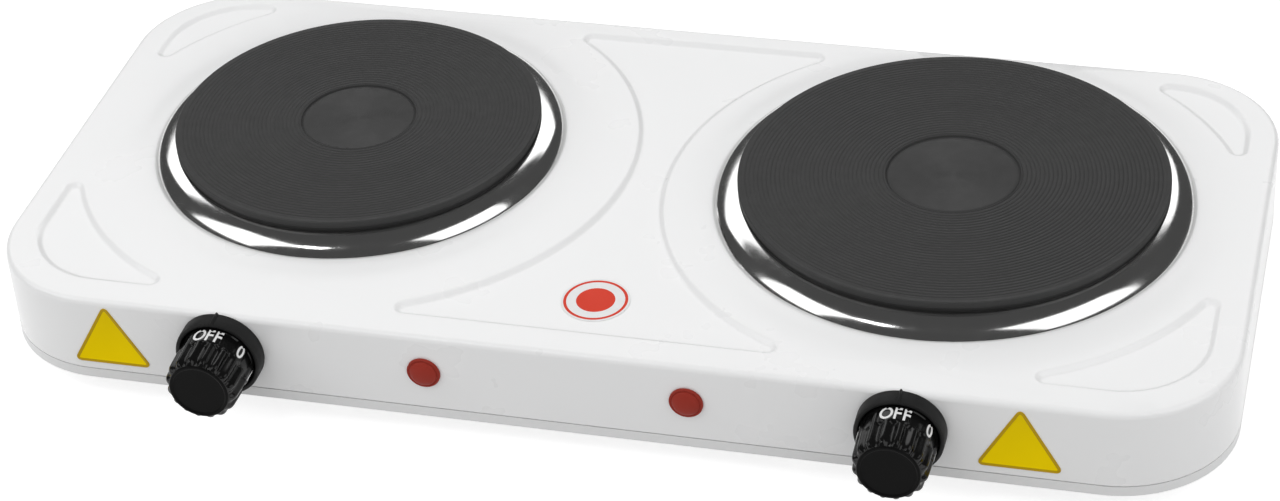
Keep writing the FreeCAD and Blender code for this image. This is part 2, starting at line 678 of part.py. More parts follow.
def make_bimetal_leaf(control):
    """Bent leaf from the ceramic base to just short of the shaft's end."""
    near = SHAFT_END_Y + LEAF_GAP
    far = INNER_FRONT_Y + THERMO_L - BASE_L
    run = [(far, AXIS_Z), (near + LEAF_T, AXIS_Z), (near + LEAF_T, AXIS_Z - LEAF_DROP)]
    return strip(run, -LEAF_T, LEAF_W, lambda a, b, c: Vec(control.knob_x + c, a, b))


def make_thermostat_screws():
    """Screws through bezel and casing into the thermostat frames."""
    screws = []
    seat = FRONT_Y - BEZEL_FLOOR
    for control in CONTROLS:
        for side in (-1, 1):
            x = control.knob_x + side * SCREW_X
            head = rod(SCREW_HEAD_R, x, AXIS_Z, seat - SCREW_HEAD_H, seat)
            shank = rod(SCREW_R, x, AXIS_Z, seat, INNER_FRONT_Y + FRAME_T + SCREW_TAIL)
            screws.append(head.fuse(shank).removeSplitter())
    return Part.makeCompound(screws)


def make_lamp_lens(control):
    """Lens with a rim on the casing and a domed front."""
    x = control.lamp_x
    dome_r = LENS_R - LENS_RIM
    rim_y = FRONT_Y - LENS_RIM
    front = FRONT_Y - LENS_REACH
    rise = LENS_REACH - LENS_RIM
    ball = (dome_r ** 2 + rise ** 2) / (2 * rise)
    half = math.asin(dome_r / ball) / 2
    dome = Part.Arc(Vec(x + dome_r, rim_y, AXIS_Z),
                    Vec(x + ball * math.sin(half), front + ball * (1 - math.cos(half)), AXIS_Z),
                    Vec(x, front, AXIS_Z))
    corners = [(0, front), (0, FRONT_Y), (LENS_R, FRONT_Y), (LENS_R, rim_y), (dome_r, rim_y)]
    edges = Part.makePolygon([Vec(x + a, b, AXIS_Z) for a, b in corners]).Edges
    return turned(Part.Wire([dome.toShape()] + edges), Vec(x, 0, AXIS_Z), BACK)


def make_lamp_body(control):
    """Lamp tube behind the lens, through the casing wall."""
    return rod(LAMP_R, control.lamp_x, AXIS_Z, FRONT_Y, FRONT_Y + LAMP_L)


def make_lamp_clips():
    """Spring clips that hold the lamps from inside."""
    clips = []
    for control in CONTROLS:
        disc = rod(CLIP_R, control.lamp_x, AXIS_Z, INNER_FRONT_Y, INNER_FRONT_Y + CLIP_T)
        clips.append(disc.cut(rod(LAMP_R + SHAFT_RUN, control.lamp_x, AXIS_Z, FRONT_Y, FRONT_Y + LAMP_L)))
    return Part.makeCompound(clips)


def make_cord_bush():
    """Bush snapped into the rear wall: outer flange, neck, inner bead and bore."""
    outline = [
        (BUSH_BORE_R, INNER_REAR_Y - BUSH_INNER_T), (BUSH_NECK_R, INNER_REAR_Y - BUSH_INNER_T),
        (BUSH_INNER_R, INNER_REAR_Y), (BUSH_NECK_R, INNER_REAR_Y), (BUSH_NECK_R, REAR_Y),
        (BUSH_FLANGE_R, REAR_Y), (BUSH_FLANGE_R, REAR_Y + BUSH_REACH / 2),
        (BUSH_NECK_R, REAR_Y + BUSH_REACH), (BUSH_BORE_R, REAR_Y + BUSH_REACH)]
    corners = [Vec(BUSH_X + a, b, BUSH_Z) for a, b in outline + outline[:1]]
    return turned(Part.makePolygon(corners), Vec(BUSH_X, 0, BUSH_Z), BACK)


def make_mains_block():
    """Three-pole block on the pan's floor with a well for each screw."""
    y = CASE_Y + BLOCK_Y
    block = Part.makeBox(BLOCK_L, BLOCK_W, BLOCK_H, Vec(BUSH_X - BLOCK_L / 2, y - BLOCK_W / 2, PAN_TOP_Z))
    top = PAN_TOP_Z + BLOCK_H
    wells = [post(BLOCK_SCREW_R + BLOCK_SCREW_GAP, BUSH_X + i * BLOCK_PITCH, y, top - BLOCK_SCREW_DEPTH, top)
             for i in (-1, 0, 1)]
    return block.cut(wells)


def make_mains_screws():
    """Clamp screws in the mains block."""
    top = PAN_TOP_Z + BLOCK_H
    return Part.makeCompound([post(BLOCK_SCREW_R, BUSH_X + i * BLOCK_PITCH, CASE_Y + BLOCK_Y,
                                   top - BLOCK_SCREW_DEPTH, top - BLOCK_SCREW_GAP) for i in (-1, 0, 1)])


def make_earth_screw():
    """Earth screw up through the pan."""
    y = CASE_Y + EARTH_Y
    head = post(BASE_SCREW_HEAD_R, BUSH_X, y, FOOT_H - BASE_SCREW_HEAD_H, FOOT_H)
    shank = post(EARTH_R, BUSH_X, y, FOOT_H, PAN_TOP_Z + FOOT_NUT_H + SCREW_TAIL)
    return head.fuse(shank).removeSplitter()


def make_earth_nut():
    """Nut of the earth screw on the pan's floor."""
    y = CASE_Y + EARTH_Y
    nut = hexagon(FOOT_NUT_FLATS, BUSH_X, y, PAN_TOP_Z, FOOT_NUT_H)
    return nut.cut(post(EARTH_R + SHAFT_RUN, BUSH_X, y, PAN_TOP_Z, PAN_TOP_Z + FOOT_NUT_H))


def lead(points):
    """Insulated lead: straight runs joined by tangent arcs as large as the runs allow."""
    edges = []
    start = points[0]
    for before, corner, after in zip(points, points[1:], points[2:]):
        back, ahead = before - corner, after - corner
        cut = BEND_SHARE * min(back.Length, ahead.Length)
        into, out = corner + back.normalize() * cut, corner + ahead.normalize() * cut
        half = back.getAngle(ahead) / 2
        middle = corner + (back + ahead).normalize() * (cut / math.cos(half) - cut * math.tan(half))
        edges.append(Part.makeLine(start, into))
        edges.append(Part.Arc(into, middle, out).toShape())
        start = out
    edges.append(Part.makeLine(start, points[-1]))
    first = points[1] - points[0]
    section = Part.Wire(Part.makeCircle(LEAD_R, points[0], first))
    return Part.Wire(edges).makePipeShell([section], True, False)


def tab_end(burner, index):
    """Lower end of a terminal tab."""
    return Vec(tab_x(burner, index), BURNER_MID_Y + TERMINAL_Y, COVER_BASE_Z - TERMINAL_H - TAB_H)


def base_back(control, dx, dz):
    """Point on the back of a thermostat's ceramic base."""
    return Vec(control.knob_x + dx, INNER_FRONT_Y + THERMO_L, AXIS_Z + dz)


def block_pole(index, split, level):
    """Point on the front of the mains block at one of its three poles."""
    return Vec(BUSH_X + index * BLOCK_PITCH + split, CASE_Y + BLOCK_Y - BLOCK_W / 2, level)


def make_leads():
    """Leads between mains block, thermostats, plates, lamps and earth, as groups by use."""
    low = PAN_TOP_Z + LEAD_FLOOR
    high = PAN_TOP_Z + LEAD_OVER
    back = BACK * LEAD_STUB
    down = UP * -LEAD_STUB
    hall_y = INNER_FRONT_Y + THERMO_L + 2 * LEAD_STUB
    groups = {"live_leads": [], "heater_leads": [], "neutral_leads": [], "lamp_leads": []}
    for burner, control in zip(BURNERS, CONTROLS):
        side = math.copysign(1, burner.x)
        outward = Vec(side, 0, 0)
        start = block_pole(-1, side * LEAD_SPLIT / 2, low)
        end = base_back(control, -side * BASE_W / 4, 0)
        groups["live_leads"].append(lead([
            start, start - back, Vec(start.x + side * LEAD_SPLIT, hall_y + 4 * LEAD_STUB, low),
            Vec(start.x + side * BLOCK_L, hall_y, low), Vec(end.x - side * 2 * LEAD_STUB, hall_y, low),
            end + back, end]))
        start = base_back(control, side * BASE_W / 4, -BASE_H / 6)
        end = tab_end(burner, side)
        groups["heater_leads"].append(lead([
            start, start + back, Vec(end.x, hall_y + 2 * LEAD_STUB, low),
            Vec(end.x, end.y - 2 * LEAD_STUB, low),
            end + down - back * 0.3, end + down * 0.6, end]))
        start = block_pole(1, side * LEAD_SPLIT / 2, high)
        end = tab_end(burner, -side)
        groups["neutral_leads"].append(lead([
            start, start - back, Vec(start.x + side * BLOCK_L, BURNER_MID_Y + LEAD_STUB, high),
            Vec(end.x - side * 3 * LEAD_STUB, BURNER_MID_Y + LEAD_STUB, low),
            Vec(end.x - side * LEAD_SPLIT, end.y - LEAD_STUB, low), end + down * 0.6, end]))
        lamp = Vec(control.lamp_x, FRONT_Y + LAMP_L, AXIS_Z)
        start = lamp + outward * (LAMP_R / 2)
        end = Vec(control.knob_x - side * BASE_W / 2, INNER_FRONT_Y + THERMO_L - BASE_L / 2, AXIS_Z)
        groups["lamp_leads"].append(lead([
            start, start + back, end - outward * (2 * LEAD_STUB) + back * 0.5,
            end - outward * LEAD_STUB, end]))
        start = lamp - outward * (LAMP_R / 2)
        end = tab_end(burner, 0)
        groups["lamp_leads"].append(lead([
            start, start + back, Vec(start.x, hall_y + 2 * LEAD_STUB, high),
            Vec(end.x - side * LEAD_STUB, BURNER_MID_Y, high), end + down - back, end + down * 0.6, end]))
    nodes = {name: Part.makeCompound(solids) for name, solids in groups.items()}
    level = PAN_TOP_Z + FOOT_NUT_H / 2
    tag = Vec(BUSH_X, CASE_Y + EARTH_Y + FOOT_NUT_FLATS / 2, level)
    nodes["earth_lead"] = lead([block_pole(0, 0, level), tag])
    return nodes


def make_nodes():
    """All pieces by node name."""
    nodes = {
        "top_casing": make_top_casing(), "base_pan": make_base_pan(), "casing_lugs": make_lugs(),
        "base_screws": make_base_screws(), "foot_screws": make_foot_screws(), "foot_nuts": make_foot_nuts(),
        "clamp_washers": make_clamp_washers(), "clamp_nuts": make_clamp_nuts(),
        "thermostat_screws": make_thermostat_screws(), "lamp_clips": make_lamp_clips(),
        "cord_bush": make_cord_bush(), "mains_block": make_mains_block(), "mains_screws": make_mains_screws(),
        "earth_screw": make_earth_screw(), "earth_nut": make_earth_nut()}
    for name, place in foot_places().items():
        nodes[name] = make_foot(*place)
    for burner in BURNERS:
        nodes[f"{burner.name}_hot_plate"] = make_hot_plate(burner)
        nodes[f"{burner.name}_trim_ring"] = make_trim_ring(burner)
        nodes[f"{burner.name}_plate_cover"] = make_plate_cover(burner)
        nodes[f"{burner.name}_plate_stud"] = make_plate_stud(burner)
        nodes[f"{burner.name}_clamp_bar"] = make_clamp_bar(burner)
        nodes[f"{burner.name}_terminal_block"] = make_terminal_block(burner)
        nodes[f"{burner.name}_terminal_tabs"] = make_terminal_tabs(burner)
    for control in CONTROLS:
        nodes[f"{control.name}_knob"] = make_knob(control)
        nodes[f"{control.name}_shaft"] = make_shaft(control)
        nodes[f"{control.name}_knob_bezel"] = make_bezel(control)
        nodes[f"{control.name}_thermostat_frame"] = make_thermostat_frame(control)
        nodes[f"{control.name}_thermostat_base"] = make_thermostat_base(control)
        nodes[f"{control.name}_bimetal_leaf"] = make_bimetal_leaf(control)
        nodes[f"{control.name}_lamp_lens"] = make_lamp_lens(control)
        nodes[f"{control.name}_lamp_body"] = make_lamp_body(control)
    nodes.update(make_leads())
    return nodes


os.makedirs("parts", exist_ok=True)
for node, shape in make_nodes().items():
    shape.exportStep(f"parts/{node}.step")
    print(node, len(shape.Solids), round(shape.Volume, 1), shape.isValid())
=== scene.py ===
"""White double electric hot plate: finishes, detailed pieces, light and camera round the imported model."""

import json
import logging
import math
from dataclasses import dataclass
from enum import Enum
from typing import Callable, Sequence

import bmesh
import bpy
from mathutils import Matrix, Vector

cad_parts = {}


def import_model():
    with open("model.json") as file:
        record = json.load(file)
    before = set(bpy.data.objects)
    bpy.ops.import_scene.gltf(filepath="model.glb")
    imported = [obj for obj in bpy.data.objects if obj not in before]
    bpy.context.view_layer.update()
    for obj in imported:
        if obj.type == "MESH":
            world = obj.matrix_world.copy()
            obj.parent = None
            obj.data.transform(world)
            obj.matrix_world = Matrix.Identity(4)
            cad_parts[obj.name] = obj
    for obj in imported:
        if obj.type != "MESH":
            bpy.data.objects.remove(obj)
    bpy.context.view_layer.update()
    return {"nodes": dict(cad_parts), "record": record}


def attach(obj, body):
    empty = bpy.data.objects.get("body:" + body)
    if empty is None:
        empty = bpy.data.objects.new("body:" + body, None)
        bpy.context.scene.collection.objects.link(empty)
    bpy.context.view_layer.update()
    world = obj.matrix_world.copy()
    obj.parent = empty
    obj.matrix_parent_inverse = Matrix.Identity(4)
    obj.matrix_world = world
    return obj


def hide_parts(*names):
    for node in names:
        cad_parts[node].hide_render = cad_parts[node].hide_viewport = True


LOG = logging.getLogger("hot_plate")

MM = 0.001
FULL_TURN = 2.0 * math.pi
MERGE = 1e-6

Colour = tuple[float, float, float]
Outline = Sequence[tuple[float, float]]
Piece = bpy.types.Object


class Axis(Enum):
    """The way in which a turned piece's heights run."""

    UP = (0.0, 0.0, 1.0)
    FORWARD = (0.0, -1.0, 0.0)


class Body(Enum):
    """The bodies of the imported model."""

    CHASSIS = "chassis"
    LEFT = "left_control"
    RIGHT = "right_control"


# Places in the frame, in millimetres

FRONT_Y = -107.0
PANEL_FLOOR_Z = 47.4
COLLAR_Z = 50.2
PLATE_Z = 61.6
SEAT_Z = 55.4
BURNER_Y = 21.0
AXIS_Z = 32.2


# Finishes


@dataclass(frozen=True)
class Finish:
    """A clouded colour, a range of gloss and a fine relief, all in object space.

    Args:
        name: the finish's own name.
        shade: darker colour of the clouds.
        tint: lighter colour of the clouds.
        rough: lowest and highest roughness.
        cloud: clouds in a metre.
        grain: grains of the relief in a metre.
        relief: height of the relief in metres.
        metallic: 1 for bare metal.
        coat: weight of the clear coat.
        specular: level of the plain reflection.
    """

    name: str
    shade: Colour
    tint: Colour
    rough: tuple[float, float]
    cloud: float = 40.0
    grain: float = 900.0
    relief: float = 4e-6
    metallic: float = 0.0
    coat: float = 0.0
    specular: float = 0.5

    def material(self) -> bpy.types.Material:
        """Make the material, or return it where it has been made.

        Returns:
            The material of this finish.
        """
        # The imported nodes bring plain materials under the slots' names, so a finish has a name of its own.
        own_name = f"{self.name}_finish"
        known = bpy.data.materials.get(own_name)
        if known:
            return known
        material = bpy.data.materials.new(own_name)
        material.use_nodes = True
        shader = material.node_tree.nodes["Principled BSDF"]
        shader.inputs["Metallic"].default_value = self.metallic
        shader.inputs["Coat Weight"].default_value = self.coat
        shader.inputs["Coat Roughness"].default_value = 0.08
        shader.inputs["Specular IOR Level"].default_value = self.specular
        self.wire(material.node_tree, shader)
        return material

    def wire(self, tree: bpy.types.NodeTree, shader: bpy.types.Node) -> None:
        """Link clouds, gloss and relief to the shader.

        Args:
            tree: the material's nodes.
            shader: its principled shader.
        """
        place = tree.nodes.new("ShaderNodeTexCoord").outputs["Object"]
        clouds = self.noise(tree, place, self.cloud, 4.0)
        mix = tree.nodes.new("ShaderNodeMix")
        mix.data_type = "RGBA"
        mix.inputs[6].default_value = (*self.shade, 1.0)
        mix.inputs[7].default_value = (*self.tint, 1.0)
        tree.links.new(clouds, mix.inputs[0])
        tree.links.new(mix.outputs[2], shader.inputs["Base Color"])
        gloss = tree.nodes.new("ShaderNodeMapRange")
        gloss.inputs["From Min"].default_value = 0.3
        gloss.inputs["From Max"].default_value = 0.7
        gloss.inputs["To Min"].default_value = self.rough[0]
        gloss.inputs["To Max"].default_value = self.rough[1]
        tree.links.new(self.noise(tree, place, self.cloud * 3.0, 3.0), gloss.inputs["Value"])
        tree.links.new(gloss.outputs["Result"], shader.inputs["Roughness"])
        bump = tree.nodes.new("ShaderNodeBump")
        bump.inputs["Strength"].default_value = 1.0
        bump.inputs["Distance"].default_value = self.relief
        tree.links.new(self.height(tree, place), bump.inputs["Height"])
        tree.links.new(bump.outputs["Normal"], shader.inputs["Normal"])

    def height(self, tree: bpy.types.NodeTree, place: bpy.types.NodeSocket) -> bpy.types.NodeSocket:
        """Give the height of the relief.

        Args:
            tree: the material's nodes.
            place: the object coordinates.

        Returns:
            The socket of the height.
        """
        return self.noise(tree, place, self.grain, 2.0)

    @staticmethod
    def noise(tree: bpy.types.NodeTree, place: bpy.types.NodeSocket, scale: float,
              detail: float) -> bpy.types.NodeSocket:
        """Add a noise texture.

        Args:
            tree: the material's nodes.
            place: the coordinates that it reads.
            scale: features in a metre.
            detail: octaves.

        Returns:
            The socket of its value.
        """
        texture = tree.nodes.new("ShaderNodeTexNoise")
        texture.inputs["Scale"].default_value = scale
        texture.inputs["Detail"].default_value = detail
        tree.links.new(place, texture.inputs["Vector"])
        return texture.outputs["Fac"]


@dataclass(frozen=True)
class TurnedFinish(Finish):
    """A finish with fine turning marks round one upright axis.

    Args:
        centre: the axis' place in millimetres.
        pitch: distance between the marks in metres.
        stretch: how far the sheen is drawn out along the marks.
    """

    centre: tuple[float, float] = (0.0, 0.0)
    pitch: float = 0.0006
    stretch: float = 0.5

    def wire(self, tree: bpy.types.NodeTree, shader: bpy.types.Node) -> None:
        """Link the pattern and stretch the sheen along the turning marks.

        Args:
            tree: the material's nodes.
            shader: its principled shader.
        """
        super().wire(tree, shader)
        across = tree.nodes.new("ShaderNodeVectorMath")
        across.operation = "CROSS_PRODUCT"
        across.inputs[0].default_value = (0.0, 0.0, 1.0)
        tree.links.new(self.centred(tree, tree.nodes["Texture Coordinate"].outputs["Object"]), across.inputs[1])
        tree.links.new(across.outputs["Vector"], shader.inputs["Tangent"])
        shader.inputs["Anisotropic"].default_value = self.stretch

    def centred(self, tree: bpy.types.NodeTree, place: bpy.types.NodeSocket) -> bpy.types.NodeSocket:
        """Give coordinates that start at the axis.

        Args:
            tree: the material's nodes.
            place: the object coordinates.

        Returns:
            The socket of the moved coordinates.
        """
        mapping = tree.nodes.new("ShaderNodeMapping")
        mapping.inputs["Location"].default_value = (-self.centre[0] * MM, -self.centre[1] * MM, 0.0)
        tree.links.new(place, mapping.inputs["Vector"])
        return mapping.outputs["Vector"]

    def height(self, tree: bpy.types.NodeTree, place: bpy.types.NodeSocket) -> bpy.types.NodeSocket:
        """Give turning marks with a little grain in them.

        Args:
            tree: the material's nodes.
            place: the object coordinates.

        Returns:
            The socket of the height.
        """
        marks = tree.nodes.new("ShaderNodeTexWave")
        marks.wave_type = "RINGS"
        marks.rings_direction = "Z"
        marks.inputs["Scale"].default_value = math.pi / (10.0 * self.pitch)
        marks.inputs["Distortion"].default_value = 0.6
        marks.inputs["Detail"].default_value = 2.0
        tree.links.new(self.centred(tree, place), marks.inputs["Vector"])
        both = tree.nodes.new("ShaderNodeMath")
        both.operation = "ADD"
        tree.links.new(marks.outputs["Fac"], both.inputs[0])
        tree.links.new(self.noise(tree, place, self.grain, 3.0), both.inputs[1])
        return both.outputs["Value"]


@dataclass(frozen=True)
class FloorFinish(Finish):
    """A pale floor that the camera and mirror surfaces see lifted towards white.

    Args:
        lift: how much white is added for those rays.
    """

    lift: float = 0.75

    def wire(self, tree: bpy.types.NodeTree, shader: bpy.types.Node) -> None:
        """Link the floor's own pattern and the lift.

        Args:
            tree: the material's nodes.
            shader: its principled shader.
        """
        super().wire(tree, shader)
        shader.inputs["Emission Color"].default_value = (1.0, 1.0, 1.0, 1.0)
        path = tree.nodes.new("ShaderNodeLightPath")
        seen = path.outputs["Is Camera Ray"]
        for other in ("Is Glossy Ray", "Is Transmission Ray"):
            either = tree.nodes.new("ShaderNodeMath")
            either.operation = "MAXIMUM"
            tree.links.new(seen, either.inputs[0])
            tree.links.new(path.outputs[other], either.inputs[1])
            seen = either.outputs["Value"]
        amount = tree.nodes.new("ShaderNodeMath")
        amount.operation = "MULTIPLY"
        amount.inputs[1].default_value = self.lift
        tree.links.new(seen, amount.inputs[0])
        tree.links.new(amount.outputs["Value"], shader.inputs["Emission Strength"])


CASING_PAINT = Finish("casing_paint", (0.898, 0.900, 0.902), (0.902, 0.904, 0.906), (0.27, 0.29), 12.0, 420.0, 2e-6,
                      coat=0.15)
PAN_PAINT = Finish("pan_paint", (0.812, 0.814, 0.816), (0.820, 0.822, 0.824), (0.32, 0.35), 14.0, 600.0, 4e-6)
KNOB_PLASTIC = Finish("knob_plastic", (0.004, 0.004, 0.004), (0.006, 0.006, 0.006), (0.12, 0.2), 60.0, 1500.0, 1e-6,
                      specular=0.3)
CAP_PLASTIC = Finish("cap_plastic", (0.004, 0.004, 0.004), (0.006, 0.006, 0.006), (0.3, 0.4), 60.0, 1500.0, 1e-6,
                     specular=0.05)
BEZEL_PLASTIC = Finish("bezel_plastic", (0.016, 0.016, 0.016), (0.022, 0.022, 0.022), (0.4, 0.54), 90.0, 1800.0,
                       2e-6, specular=0.12)
LENS_RED = Finish("lens_red", (0.29, 0.030, 0.018), (0.34, 0.037, 0.024), (0.42, 0.5), 120.0, 700.0, 6e-6,
                  specular=0.12)
LAMP_PLASTIC = Finish("lamp_plastic", (0.55, 0.53, 0.48), (0.62, 0.60, 0.55), (0.4, 0.5), 90.0, 1500.0, 6e-6)
PLATED_STEEL = Finish("plated_steel", (0.50, 0.50, 0.49), (0.62, 0.62, 0.60), (0.26, 0.42), 160.0, 1400.0, 6e-6, 1.0)
CERAMIC = Finish("ceramic", (0.70, 0.66, 0.58), (0.80, 0.77, 0.70), (0.5, 0.65), 120.0, 1600.0, 1.2e-5)
BRASS = Finish("brass", (0.62, 0.42, 0.13), (0.74, 0.53, 0.20), (0.22, 0.4), 150.0, 1500.0, 5e-6, 1.0)
BUSH_PLASTIC = Finish("bush_plastic", (0.015, 0.015, 0.016), (0.028, 0.028, 0.03), (0.42, 0.55), 90.0, 1600.0, 1e-5)
BLOCK_PLASTIC = Finish("block_plastic", (0.62, 0.60, 0.54), (0.70, 0.68, 0.63), (0.42, 0.52), 90.0, 1500.0, 8e-6)
FOOT_RUBBER = Finish("foot_rubber", (0.010, 0.010, 0.010), (0.022, 0.022, 0.022), (0.66, 0.82), 110.0, 1300.0, 2e-5)
LEAD_LIVE = Finish("lead_live", (0.16, 0.07, 0.03), (0.22, 0.10, 0.045), (0.4, 0.52), 120.0, 1700.0, 8e-6)
LEAD_NEUTRAL = Finish("lead_neutral", (0.02, 0.10, 0.42), (0.03, 0.14, 0.52), (0.4, 0.52), 120.0, 1700.0, 8e-6)
LEAD_EARTH = Finish("lead_earth", (0.10, 0.42, 0.05), (0.52, 0.56, 0.04), (0.4, 0.52), 260.0, 1700.0, 8e-6)
PLATE_IRON = Finish("plate_iron", (0.036, 0.036, 0.036), (0.041, 0.041, 0.041), (0.46, 0.54), 70.0, 2600.0, 1.6e-5,
                    specular=0.4)
RING_STEEL = Finish("ring_steel", (0.76, 0.76, 0.755), (0.82, 0.82, 0.815), (0.10, 0.16), 60.0, 2200.0, 1.5e-6, 1.0)
PRINT_WHITE = Finish("print_white", (0.78, 0.78, 0.78), (0.86, 0.86, 0.86), (0.34, 0.46), 300.0, 2600.0, 4e-6)
LABEL_YELLOW = Finish("label_yellow", (0.95, 0.68, 0.001), (0.98, 0.72, 0.001), (0.36, 0.46), 60.0, 900.0, 8e-6,
                      specular=0.03)
LABEL_EDGE = Finish("label_edge", (0.50, 0.31, 0.002), (0.56, 0.36, 0.004), (0.36, 0.46), 60.0, 900.0, 8e-6,
                    specular=0.12)
LABEL_RED = Finish("label_red", (0.66, 0.045, 0.022), (0.74, 0.060, 0.030), (0.36, 0.46), 60.0, 900.0, 8e-6,
                   specular=0.12)
FLOOR_PAPER = FloorFinish("floor_paper", (0.58, 0.58, 0.58), (0.62, 0.62, 0.62), (0.7, 0.85), 3.0, 700.0, 2e-5,
                          specular=0.2)

SLOT_FINISHES = {
    finish.name: finish
    for finish in (CASING_PAINT, PAN_PAINT, KNOB_PLASTIC, BEZEL_PLASTIC, LENS_RED, LAMP_PLASTIC, PLATED_STEEL,
                   CERAMIC, BRASS, BUSH_PLASTIC, BLOCK_PLASTIC, FOOT_RUBBER, LEAD_LIVE, LEAD_NEUTRAL, LEAD_EARTH,
                   PLATE_IRON, RING_STEEL)
}


class Bench:
    """Modelling moves with the editor's own operators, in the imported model's frame."""

    @staticmethod
    def clear() -> None:
        """Leave edit mode and deselect everything."""
        active = bpy.context.view_layer.objects.active
        if active and active.mode != "OBJECT":
            bpy.ops.object.mode_set(mode="OBJECT")
        bpy.ops.object.select_all(action="DESELECT")

    @staticmethod
    def take(name: str) -> Piece:
        """Name the object that was just added.

        Args:
            name: the piece's name.

        Returns:
            The object.
        """
        piece = bpy.context.view_layer.objects.active
        piece.name = name
        piece.data.name = name
        return piece

    @staticmethod
    def edit() -> None:
        """Go into edit mode on the active piece."""
        bpy.ops.object.mode_set(mode="EDIT")
        bpy.ops.mesh.select_mode(type="VERT")

    @staticmethod
    def done() -> None:
        """Go back to object mode."""
        bpy.ops.object.mode_set(mode="OBJECT")

    @staticmethod
    def pick(piece: Piece, wanted: Callable[[Vector], bool]) -> int:
        """Select the vertices of the piece in edit mode by their place.

        Args:
            piece: the piece in edit mode.
            wanted: test of a vertex's place.

        Returns:
            How many vertices are selected.
        """
        mesh = bmesh.from_edit_mesh(piece.data)
        for face in mesh.faces:
            face.select_set(False)
        for edge in mesh.edges:
            edge.select_set(False)
        count = 0
        for vertex in mesh.verts:
            chosen = wanted(vertex.co)
            vertex.select_set(chosen)
            count += chosen
        mesh.select_flush_mode()
        bmesh.update_edit_mesh(piece.data)
        return count

    @classmethod
    def lathe(cls, name: str, outline: Outline, centre: Vector, axis: Axis, steps: int) -> Piece:
        """Draw an outline point by point and spin it round an axis.

        Args:
            name: the piece's name.
            outline: pairs of radius and height in millimetres.
            centre: the axis' foot in metres.
            axis: the way in which the heights run.
            steps: faces round the axis.

        Returns:
            The turned piece.
        """
        along = Vector(axis.value)
        spots = [centre + Vector((radius * MM, 0.0, 0.0)) + along * (height * MM) for radius, height in outline]
        cls.clear()
        bpy.ops.mesh.primitive_plane_add(size=0.01)
        piece = cls.take(name)
        cls.edit()
        bpy.ops.mesh.select_all(action="SELECT")
        bpy.ops.mesh.merge(type="CENTER")
        bpy.ops.transform.translate(value=spots[0])
        for before, after in zip(spots, spots[1:]):
            bpy.ops.mesh.extrude_vertices_move(TRANSFORM_OT_translate={"value": after - before})
        bpy.ops.mesh.select_all(action="SELECT")
        bpy.ops.mesh.spin(steps=steps, angle=FULL_TURN, center=centre, axis=along)
        cls.heal()
        cls.done()
        return piece

    @staticmethod
    def heal() -> None:
        """Merge doubles and point the faces outwards, in edit mode."""
        bpy.ops.mesh.select_all(action="SELECT")
        bpy.ops.mesh.remove_doubles(threshold=MERGE)
        bpy.ops.mesh.normals_make_consistent(inside=False)

    @classmethod
    def smooth(cls, piece: Piece, degrees: float = 35.0) -> None:
        """Shade a piece smooth, with edges kept where faces meet at more than an angle.

        Args:
            piece: the piece.
            degrees: the angle.
        """
        cls.clear()
        piece.select_set(True)
        bpy.context.view_layer.objects.active = piece
        bpy.ops.object.shade_smooth_by_angle(angle=math.radians(degrees))

    @classmethod
    def modify(cls, piece: Piece, kind: str, **settings: object) -> None:
        """Add a modifier and apply it.

        Args:
            piece: the piece.
            kind: the modifier's type.
            settings: its properties.
        """
        cls.clear()
        piece.select_set(True)
        bpy.context.view_layer.objects.active = piece
        modifier = piece.modifiers.new(kind.lower(), kind)
        for key, value in settings.items():
            setattr(modifier, key, value)
        bpy.ops.object.modifier_apply(modifier=modifier.name)

    @classmethod
    def join(cls, pieces: Sequence[Piece], name: str) -> Piece:
        """Join pieces into one.

        Args:
            pieces: the pieces, the first of which stays.
            name: the joined piece's name.

        Returns:
            The joined piece.
        """
        cls.clear()
        for piece in pieces:
            piece.select_set(True)
        bpy.context.view_layer.objects.active = pieces[0]
        bpy.ops.object.join()
        return cls.take(name)

    @classmethod
    def settle(cls, piece: Piece, place: Matrix) -> None:
        """Put a piece in its place and leave the place in its mesh.

        Args:
            piece: the piece, modelled at the origin.
            place: where it goes.
        """
        cls.clear()
        piece.matrix_world = place
        piece.select_set(True)
        bpy.context.view_layer.objects.active = piece
        bpy.ops.object.transform_apply(location=True, rotation=True, scale=True)

    @staticmethod
    def dress(piece: Piece, *finishes: Finish) -> None:
        """Give a piece its finishes.

        Args:
            piece: the piece.
            finishes: one for each material slot.
        """
        piece.data.materials.clear()
        for finish in finishes:
            piece.data.materials.append(finish.material())

    @staticmethod
    def fit(piece: Piece, body: Body, slot: str, *nodes: str) -> None:
        """Fix a piece to its body and hide the nodes that it replaces.

        Args:
            piece: the piece.
            body: the body that carries it.
            slot: the record's slot of its finish; not used.
            nodes: the nodes that it replaces.
        """
        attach(piece, body.value)
        if nodes:
            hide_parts(*nodes)
        LOG.info("%s: %d faces on %s", piece.name, len(piece.data.polygons), body.value)


